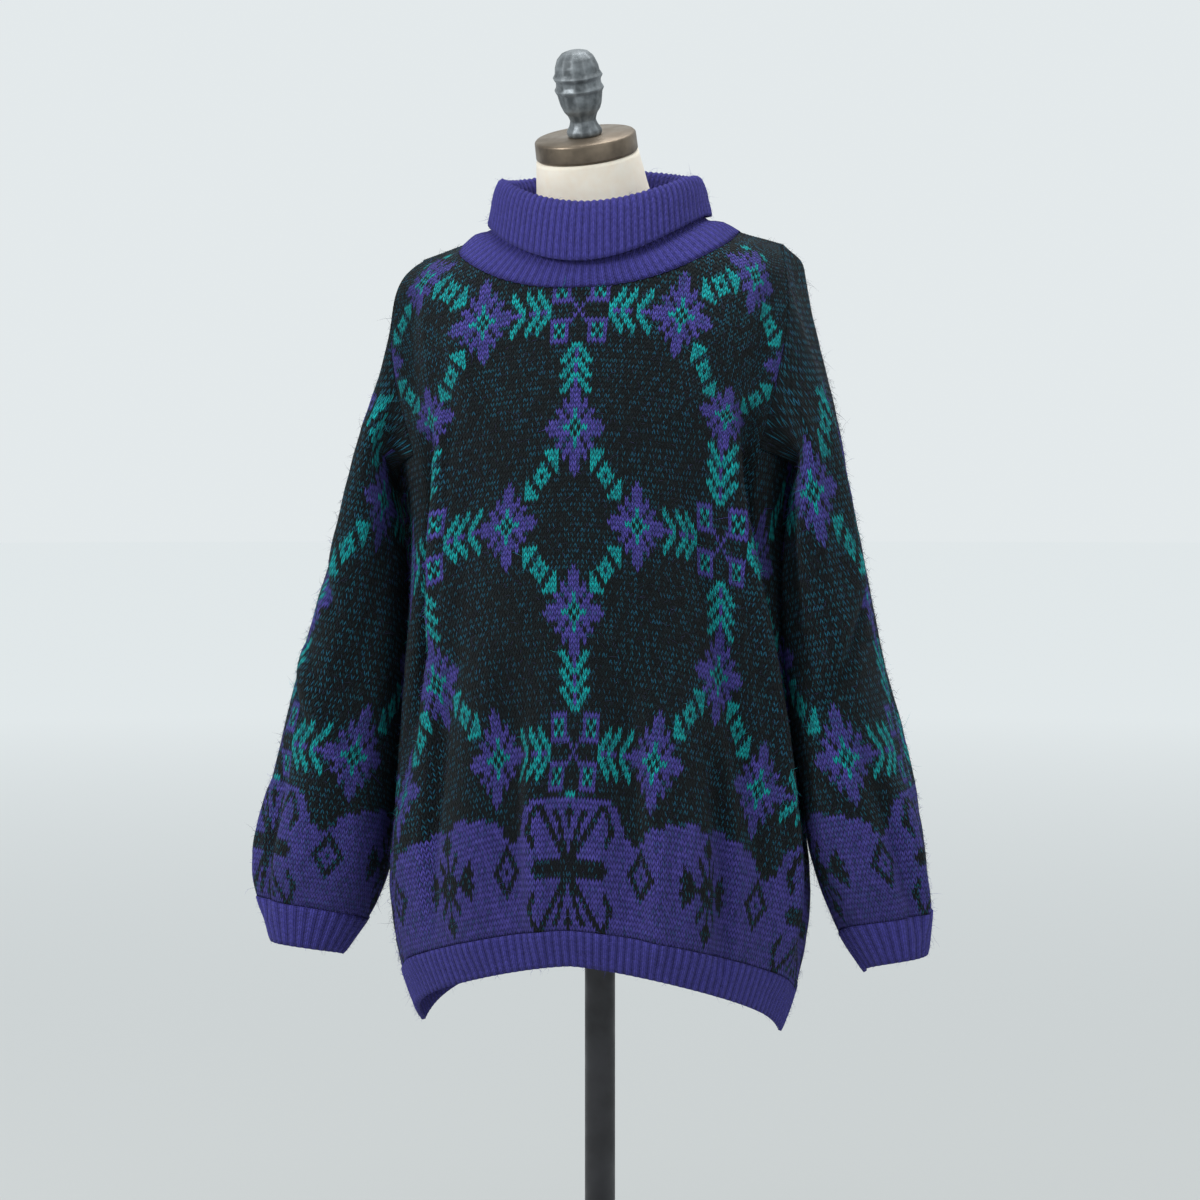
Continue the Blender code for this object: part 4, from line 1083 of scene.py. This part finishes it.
def add_halo(name, surface, thickness, density, rng):
    """Fine tapering hairs that stand off a surface's outer face and droop."""
    a, b, c, d = (surface.points[corners] for corners in surface.faces.T)
    areas = np.linalg.norm(np.cross(c - a, d - b), axis=1) / 2
    count = int(density * areas.sum())
    picked = rng.choice(len(areas), count, p=areas / areas.sum())
    mix = rng.random((count, 2, 1))
    low = a[picked] * (1 - mix[:, 0]) + b[picked] * mix[:, 0]
    high = d[picked] * (1 - mix[:, 0]) + c[picked] * mix[:, 0]
    normals = surface.normals[surface.faces[picked, 0]]
    root = low * (1 - mix[:, 1]) + high * mix[:, 1] + normals * thickness * HAIR_ROOT
    stray = rng.random(count) < STRAY_SHARE
    shortest, spread = HAIR_SPREAD
    length = HAIR_LENGTH * (shortest + spread * rng.random(count))
    length = (length * np.where(stray, STRAY_STRETCH, 1))[:, None]
    side = unit(np.cross(normals, rng.normal(size=(count, 3))))
    lift = rng.uniform(*HAIR_LIFT, (count, 1))
    start = unit(normals * lift + side)
    bend = unit(rng.normal(size=(count, 3))) * HAIR_BEND - np.array([0, 0, HAIR_DROOP])
    middle = root + start * length * 0.5
    tip = middle + unit(start + bend * 0.9 + normals * 0.1) * length * 0.5
    across = unit(np.cross(start, rng.normal(size=(count, 3))))
    other = np.cross(start, across)
    points = []
    for centre, width in ((root, 1.0), (middle, HAIR_TAPER)):
        for angle in np.arange(3) * 2 * np.pi / 3:
            spoke = across * math.cos(angle) + other * math.sin(angle)
            points.append(centre + spoke * HAIR_RADIUS * width)
    points = np.stack(points + [tip], axis=1).reshape(-1, 3)
    first = np.arange(count)[:, None] * 7
    faces = []
    for k in range(3):
        n = (k + 1) % 3
        faces += [first + [k, n, n + 3, k + 3], first + [k + 3, n + 3, 6, 6]]
    return make_mesh(name, points, np.concatenate(faces), None, np.tile(surface.yarns[picked], 6))


# --- the form and its stand


def form_mesh():
    """Torso and neck, lofted smoothly through the outlines."""
    knots = [outline.z for outline in FORM]
    spans = [np.linspace(a, b, FORM_STEPS, endpoint=False) for a, b in zip(knots, knots[1:])]
    heights = np.append(np.concatenate(spans), knots[-1])
    across, out = round_shape(np.arange(FORM_FINE_SIDES) * 360 / FORM_FINE_SIDES, FORM_ROUNDNESS)
    rings = []
    for height in heights:
        outline = table_at(FORM, height)
        x = outline.half_width * across
        y = -np.where(out > 0, outline.front, outline.back) * out
        z = outline.z + outline.tilt * y + outline.roll * x
        rings.append(np.stack([x + outline.shift_x, y + outline.shift_y, z], axis=1))
    return lathe_mesh("form_cover", rings)


def lathe_mesh(name, rings):
    """A closed skin over rings, with a fan over each end. Its map is in metres."""
    count = len(rings[0])
    ends = [rings[0].mean(axis=0), rings[-1].mean(axis=0)]
    loops = [np.tile(ends[0], (count, 1))] + list(rings) + [np.tile(ends[1], (count, 1))]
    loops = np.array(loops)
    levels = len(loops)
    numbers = np.arange(levels * count).reshape(levels, count)
    numbers[0] = 0
    numbers[-1] = (levels - 1) * count
    around = np.linalg.norm(np.diff(rings[len(rings) // 2], axis=0), axis=1).mean()
    steps = np.linalg.norm(np.diff(loops, axis=0), axis=2).max(axis=1)
    up = np.broadcast_to(running(steps)[:, None], (levels, count))
    surface = Surface(loops.reshape(-1, 3), numbers, np.arange(count) * around, up, closed=True)
    surface.settle()
    return make_mesh(name, surface.points, surface.faces, surface.places)


def turned_mesh(name, profile, place, lean=(0, 0, 1), facets=0):
    """A turned shape from a profile of (radius, height). Facets flatten it between its edges."""
    angles = np.arange(TURNED_SIDES) * 2 * np.pi / TURNED_SIDES
    turn = Vector((0, 0, 1)).rotation_difference(Vector(lean)).to_matrix()
    rings = []
    for radius, height in rounded(profile):
        reach = np.full(TURNED_SIDES, radius)
        if facets:
            within = (angles * facets / (2 * np.pi)) % 1 - 0.5
            reach *= math.cos(np.pi / facets) / np.cos(within * 2 * np.pi / facets)
        heights = np.full(TURNED_SIDES, height)
        ring = np.stack([reach * np.cos(angles), reach * np.sin(angles), heights], axis=1)
        rings.append(ring @ np.array(turn).T + np.array(place))
    return lathe_mesh(name, rings)


def rounded(profile):
    """The profile with each corner replaced by a short arc."""
    points = [np.array(point) for point in profile]
    found = [points[0]]
    for before, corner, after in zip(points, points[1:], points[2:]):
        arms = before - corner, after - corner
        lengths = [np.linalg.norm(arm) for arm in arms]
        reach = min(EDGE_RADIUS, lengths[0] * EDGE_SHARE, lengths[1] * EDGE_SHARE)
        start, end = (corner + arm / length * reach for arm, length in zip(arms, lengths))
        for t in np.linspace(0, 1, EDGE_STEPS):
            found.append(start * (1 - t) ** 2 + corner * 2 * t * (1 - t) + end * t**2)
    return found + [points[-1]]


# --- materials


class Nodes:
    """Short hand for one material's node tree."""

    def __init__(self, name, **constants):
        self.material = bpy.data.materials.new(name)
        self.material.use_nodes = True
        self.tree = self.material.node_tree
        self.shader = self.tree.nodes["Principled BSDF"]
        for socket, value in constants.items():
            self.shader.inputs[socket.replace("_", " ")].default_value = value

    def plug(self, value, socket):
        if isinstance(value, bpy.types.NodeSocket):
            self.tree.links.new(value, socket)
        elif value is not None:
            socket.default_value = value

    def add(self, kind, inputs=(), output=0, **settings):
        node = self.tree.nodes.new(kind)
        for setting, value in settings.items():
            setattr(node, setting, value)
        for key, value in dict(inputs).items():
            self.plug(value, node.inputs[key])
        return node.outputs[output]

    def split(self, value, kind="XYZ"):
        """The three parts of a vector or colour."""
        node = self.tree.nodes.new(f"ShaderNodeSeparate{kind}")
        self.tree.links.new(value, node.inputs[0])
        return node.outputs

    def math(self, operation, a, b=None, c=None):
        return self.add("ShaderNodeMath", {0: a, 1: b, 2: c}, operation=operation)

    def noise(self, scale, detail):
        inputs = {"Vector": self.position(), "Scale": scale, "Detail": detail}
        return self.add("ShaderNodeTexNoise", inputs)

    def ramp(self, factor, low, high, to_low=0.0, to_high=1.0):
        inputs = {0: factor, 1: low, 2: high, 3: to_low, 4: to_high}
        return self.add("ShaderNodeMapRange", inputs, clamp=True)

    def mix(self, factor, a, b, blend="MIX"):
        inputs = {0: factor, 6: a, 7: b}
        return self.add("ShaderNodeMix", inputs, 2, data_type="RGBA", blend_type=blend)

    def position(self):
        """A place on the piece, in metres."""
        return self.add("ShaderNodeTexCoord", output=3)

    def bump(self, height, distance, strength):
        inputs = {"Height": height, "Distance": distance, "Strength": strength}
        return self.add("ShaderNodeBump", inputs)

    def finish(self, colour, normal=None, roughness=None):
        self.plug(colour, self.shader.inputs["Base Color"])
        self.plug(roughness, self.shader.inputs["Roughness"])
        self.plug(normal, self.shader.inputs["Normal"])
        return self.material


def stitch_parts(nodes):
    """Where a point lies in its stitch: across a leg, along it, and the leg's own number."""
    column, row, _ = nodes.split(nodes.add("ShaderNodeUVMap", uv_map="Stitches"))
    middle = nodes.math("FRACT", nodes.math("ADD", column, 0.5))
    aside = nodes.math("MULTIPLY", nodes.math("ABSOLUTE", nodes.math("SUBTRACT", middle, 0.5)), 2)
    level = nodes.math("SUBTRACT", row, nodes.math("MULTIPLY_ADD", aside, LEG_RISE, -LEG_RISE / 2))
    along = nodes.math("FRACT", level)
    leg = nodes.math("FLOOR", nodes.math("MULTIPLY", column, 2))
    number = nodes.add("ShaderNodeCombineXYZ", {0: leg, 1: nodes.math("FLOOR", level)})
    return aside, along, number


def hump(nodes, place, power):
    """1 in the middle of a span from 0 to 1, and 0 at its ends."""
    wave = nodes.math("SINE", nodes.math("MULTIPLY", place, math.pi))
    return nodes.math("POWER", nodes.math("MAXIMUM", wave, 0.0001), power)


def grey(nodes, value):
    return nodes.add("ShaderNodeCombineColor", {0: value, 1: value, 2: value})


def knit_material(name, flecks, side_flecks):
    """Brushed wool: legs of stitches in two plied yarns, with flecks of the second one, and painted
    shade in the gaps between the legs.
    """
    nodes = Nodes(name, **WOOL)
    aside, along, number = stitch_parts(nodes)
    leg = nodes.math("MULTIPLY", hump(nodes, aside, 0.45), hump(nodes, along, 0.9))
    yarn = nodes.add("ShaderNodeVertexColor", layer_name="Yarn")
    fine = nodes.noise(1100, 3)
    tufts = nodes.noise(260, 4)
    patches = nodes.noise(26, 3)
    chance = nodes.add("ShaderNodeTexWhiteNoise", {"Vector": number}, noise_dimensions="3D")
    other = nodes.add("ShaderNodeTexWhiteNoise", {"Vector": number}, 1, noise_dimensions="3D")
    tone, _, _ = nodes.split(other, "Color")
    x, _, z = nodes.split(nodes.position())
    outer = nodes.ramp(nodes.math("ABSOLUTE", x), 0.05, 0.20, 0.0, side_flecks)
    upper = nodes.ramp(z, 1.18, 1.34, 0.0, 0.05)
    wanted = nodes.math("ADD", chance, nodes.math("MULTIPLY_ADD", patches, 0.5, -0.25))
    wanted = nodes.math("ADD", wanted, nodes.math("ADD", outer, upper))
    band = nodes.ramp(hump(nodes, along, 1.0), 0.62, 0.9)
    band = nodes.math("MULTIPLY", band, nodes.ramp(aside, 0.10, 0.25))
    band = nodes.math("MULTIPLY", band, nodes.ramp(fine, 0.36, 0.5))
    fleck = nodes.math("MULTIPLY", nodes.ramp(wanted, 1 - flecks, 1.35 - flecks), band)
    # the ground yarn is nearly black, so its blue tells it from the motifs
    motif = nodes.ramp(nodes.split(yarn, "Color")[2], 0.05, 0.12)
    plain = nodes.mix(nodes.ramp(tufts, 0.35, 0.7), GROUND_DEEP, yarn)
    teal = nodes.mix(tone, FLECK_TEAL, FLECK_BLUE)
    plain = nodes.mix(fleck, plain, teal)
    bright = nodes.mix(nodes.ramp(tufts, 0.25, 0.75), (0.5, 0.5, 0.56, 1), (1.55, 1.5, 1.42, 1))
    motifs = nodes.mix(1.0, yarn, bright, "MULTIPLY")
    dark_leg = nodes.math("MULTIPLY", nodes.ramp(chance, 0.72, 0.95), nodes.ramp(tufts, 0.35, 0.55))
    motifs = nodes.mix(nodes.math("MULTIPLY", dark_leg, 0.62), motifs, HAIR_DARK)
    motifs = nodes.mix(nodes.math("MULTIPLY", fleck, 0.45), motifs, teal)
    wool = nodes.mix(motif, plain, motifs)
    wool = nodes.mix(nodes.ramp(fine, 0.62, 0.82, 0.0, 0.10), wool, HAIR_LIGHT)
    # painted shade in the gaps between the legs and rows, and slightly lighter on the legs' crests
    shade = nodes.ramp(leg, 0.05, 0.8, 0.24, 1.05)
    wool = nodes.mix(1.0, wool, grey(nodes, shade), "MULTIPLY")
    height = nodes.math("MULTIPLY_ADD", tufts, 0.8, leg)
    height = nodes.math("MULTIPLY_ADD", fine, 0.4, height)
    return nodes.finish(wool, nodes.bump(height, 0.0020, 1.0))


def rib_material():
    """Ribbing: the same stitches on each rib, with painted shade between the ribs and at the ends
    of the legs.
    """
    nodes = Nodes("wool_ribbing", **WOOL)
    aside, along, _ = stitch_parts(nodes)
    split = nodes.math("FRACT", nodes.math("MULTIPLY", aside, 2))
    leg = nodes.math("MULTIPLY", hump(nodes, split, 0.7), hump(nodes, along, 0.45))
    fine = nodes.noise(900, 3)
    tufts = nodes.noise(190, 4)
    yarn = nodes.add("ShaderNodeVertexColor", layer_name="Yarn")
    bright = nodes.mix(tufts, (0.6, 0.6, 0.6, 1), (1.4, 1.4, 1.4, 1))
    wool = nodes.mix(1.0, yarn, bright, "MULTIPLY")
    wool = nodes.mix(nodes.ramp(fine, 0.58, 0.8, 0.0, 0.2), wool, HAIR_LIGHT)
    # painted shade in the valleys between the ribs and at the ends of each leg
    painted_valley_shade, leg_shade = nodes.ramp(aside, 0.05, 0.7, 0.58, 1.0), nodes.ramp(leg, 0.0, 0.6, 0.7, 1.0)
    painted_rib_shade = nodes.math("MULTIPLY", painted_valley_shade, leg_shade)
    wool = nodes.mix(1.0, wool, grey(nodes, painted_rib_shade), "MULTIPLY")
    height = nodes.math("MULTIPLY_ADD", tufts, 0.6, leg)
    height = nodes.math("MULTIPLY_ADD", fine, 0.3, height)
    return nodes.finish(wool, nodes.bump(height, 0.0015, 0.9))


def halo_material():
    nodes = Nodes("wool_halo", **WOOL)
    yarn = nodes.add("ShaderNodeVertexColor", layer_name="Yarn")
    tone = nodes.noise(160, 2)
    pale = nodes.mix(nodes.ramp(tone, 0.35, 0.7, 0.0, 0.3), yarn, HAIR_LIGHT)
    return nodes.finish(pale)


def linen_material():
    """Close linen with slubs and faint stains."""
    nodes = Nodes("linen_cover", Roughness=0.9, Sheen_Weight=0.2, Sheen_Roughness=0.5)
    place = nodes.add("ShaderNodeUVMap", uv_map="Stitches")
    inputs = {"Vector": place, "Scale": 420.0, "Distortion": 1.2}
    warp, weft = (nodes.add("ShaderNodeTexWave", inputs, 1, bands_direction=way) for way in "XY")
    weave = nodes.math("MAXIMUM", warp, weft)
    slubs = nodes.noise(120, 4)
    stain = nodes.noise(14, 3)
    colour = nodes.mix(slubs, LINEN_DARK, LINEN_LIGHT)
    colour = nodes.mix(nodes.ramp(stain, 0.45, 0.8, 0.0, 0.35), colour, LINEN_STAIN)
    height = nodes.math("MULTIPLY_ADD", slubs, 0.5, weave)
    return nodes.finish(colour, nodes.bump(height, 0.0006, 0.6))


def metal_material(name):
    """Metal with cloudy tarnish, fine pits and paler rubbed edges."""
    *colours, roughness, metallic, grain = METALS[name]
    dark, light, worn = (linear(*colour) for colour in colours)
    nodes = Nodes(name, Metallic=metallic)
    clouds = nodes.noise(grain, 5)
    pits = nodes.noise(grain * 9, 3)
    edge = nodes.add("ShaderNodeNewGeometry", output=7)
    colour = nodes.mix(nodes.ramp(clouds, 0.35, 0.7), dark, light)
    colour = nodes.mix(nodes.ramp(edge, 0.5, 0.6, 0.0, 0.8), colour, worn)
    rough = nodes.ramp(clouds, 0.3, 0.7, roughness + 0.12, roughness - 0.08)
    height = nodes.math("MULTIPLY_ADD", pits, 0.5, clouds)
    return nodes.finish(colour, nodes.bump(height, 0.0009, 0.35), rough)


def floor_material():
    """A pale floor, with painted shade near the stand, that grows as light as the air round it
    towards the horizon.
    """
    nodes = Nodes("pale_floor", Roughness=0.95, Specular_IOR_Level=0.0)
    x, y, _ = nodes.split(nodes.position())
    reach = nodes.math("SQRT", nodes.math("MULTIPLY_ADD", x, x, nodes.math("MULTIPLY", y, y)))
    far = nodes.math("POWER", nodes.ramp(reach, FLOOR_NEAR, FLOOR_FAR), 0.6)
    return nodes.finish(nodes.mix(far, FLOOR_PAINTED_SHADE, FLOOR_LIGHT))


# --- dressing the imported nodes


def dress(obj, node, material):
    """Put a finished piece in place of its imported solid."""
    obj.data.materials.clear()
    obj.data.materials.append(material)
    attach(obj, "root")
    if node:
        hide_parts(node)
    return obj


def build_sweater():
    rng = np.random.default_rng(SEED)
    knit = {kind: knit_material(name, *flecks) for kind, (name, *flecks) in KNITS.items()}
    ribbing, halo = rib_material(), halo_material()
    panels, sides = ("front", "back"), ("left", "right")
    surfaces = {f"{panel}_panel": panel_surface(panel) for panel in panels}
    surfaces |= {f"sleeve_{side}": sleeve_surface(side) for side in sides}
    surfaces |= {f"hem_rib_{panel}": hem_surface(panel) for panel in panels}
    surfaces |= {f"cuff_{side}": cuff_surface(side) for side in sides}
    surfaces["collar"] = collar_surface()
    share_seam_normals(list(surfaces.values()))
    for node, surface in surfaces.items():
        flat = node in FLAT_SIZES
        thickness, slot = (KNIT_THICKNESS, "knit") if flat else (RIB_THICKNESS, "ribbing")
        wool = knit["sleeve" if "sleeve" in node else "panel"] if flat else ribbing
        piece = dress(make_wall(f"{node}_knit", surface, thickness), node, wool)
        hairs = add_halo(f"{node}_halo", surface, thickness, HALO[node], rng)
        dress(hairs, None, halo)


def build_form():
    """The linen torso, its bronze cap and cast finial, and the stand below."""
    dress(form_mesh(), "form_torso", linen_material())
    neck = FORM[-1]
    lean = Vector((-neck.roll, -neck.tilt, 1)).normalized()
    middle = Vector((neck.shift_x, neck.shift_y, neck.z))
    cap = turned_mesh("bronze_cap", CAP_PROFILE, middle + lean * FIT_GAP, lean)
    dress(cap, "neck_cap", metal_material("aged_bronze"))
    seat = middle + lean * (CAP_PROFILE[-1][1] + 2 * FIT_GAP)
    finial = turned_mesh("cast_finial", FINIAL_PROFILE, seat, lean, FINIAL_SIDES)
    dress(finial, "finial", metal_material("cast_metal"))
    black = metal_material("satin_black")
    foot = BASE_PROFILE[-1][1] + FIT_GAP
    top = FORM[0].z - FIT_GAP - foot
    pole = [
        (POLE_RADIUS, 0),
        (POLE_RADIUS, top - FLANGE_HEIGHT),
        (FLANGE_RADIUS, top - FLANGE_HEIGHT / 3),
        (FLANGE_RADIUS, top),
    ]
    dress(turned_mesh("steel_pole", pole, (0, 0, foot)), "pole", black)
    dress(turned_mesh("round_base", BASE_PROFILE, (0, 0, 0)), "base", black)


# --- the studio


def build_studio():
    """A wide pale floor under an even pale sky, and soft lights."""
    angles = np.arange(FLOOR_SIDES) * 2 * np.pi / FLOOR_SIDES
    radii = np.array(FLOOR_RADII)[:, None]
    rings = np.stack([radii * np.cos(angles), radii * np.sin(angles), 0 * radii * angles], axis=-1)
    numbers = np.arange(rings.shape[0] * FLOOR_SIDES).reshape(rings.shape[:2])
    numbers[0] = 0
    up = np.broadcast_to(radii, numbers.shape)
    surface = Surface(rings.reshape(-1, 3), numbers, angles, up, closed=True, flip=True)
    surface.settle()
    floor = make_mesh("floor", surface.points, surface.faces)
    floor.data.materials.append(floor_material())
    for name, energy, size, place, target in LIGHTS:
        data = bpy.data.lights.new(name, "AREA")
        data.shape, data.size, data.energy = "DISK", size, energy
        aim(add_object(name, data), place, target)
    world = bpy.context.scene.world or bpy.data.worlds.new("studio")
    bpy.context.scene.world = world
    world.use_nodes = True
    background = world.node_tree.nodes["Background"]
    background.inputs["Color"].default_value = WORLD_COLOUR
    background.inputs["Strength"].default_value = WORLD_STRENGTH


def place_camera():
    data = bpy.data.cameras.new("camera")
    data.angle = 2 * math.atan(VIEW_WIDTH / 2 / CAMERA_DISTANCE)
    data.clip_end = VIEW_END
    camera = add_object("camera", data)
    angle = math.radians(CAMERA_AZIMUTH)
    x, y = math.sin(angle) * CAMERA_DISTANCE, -math.cos(angle) * CAMERA_DISTANCE
    aim(camera, (x, y, CAMERA_HEIGHT), (0, 0, CAMERA_AIM))
    bpy.context.scene.camera = camera


bpy.context.scene.view_settings.view_transform = "Standard"
place_camera()
build_sweater()
build_form()
build_studio()
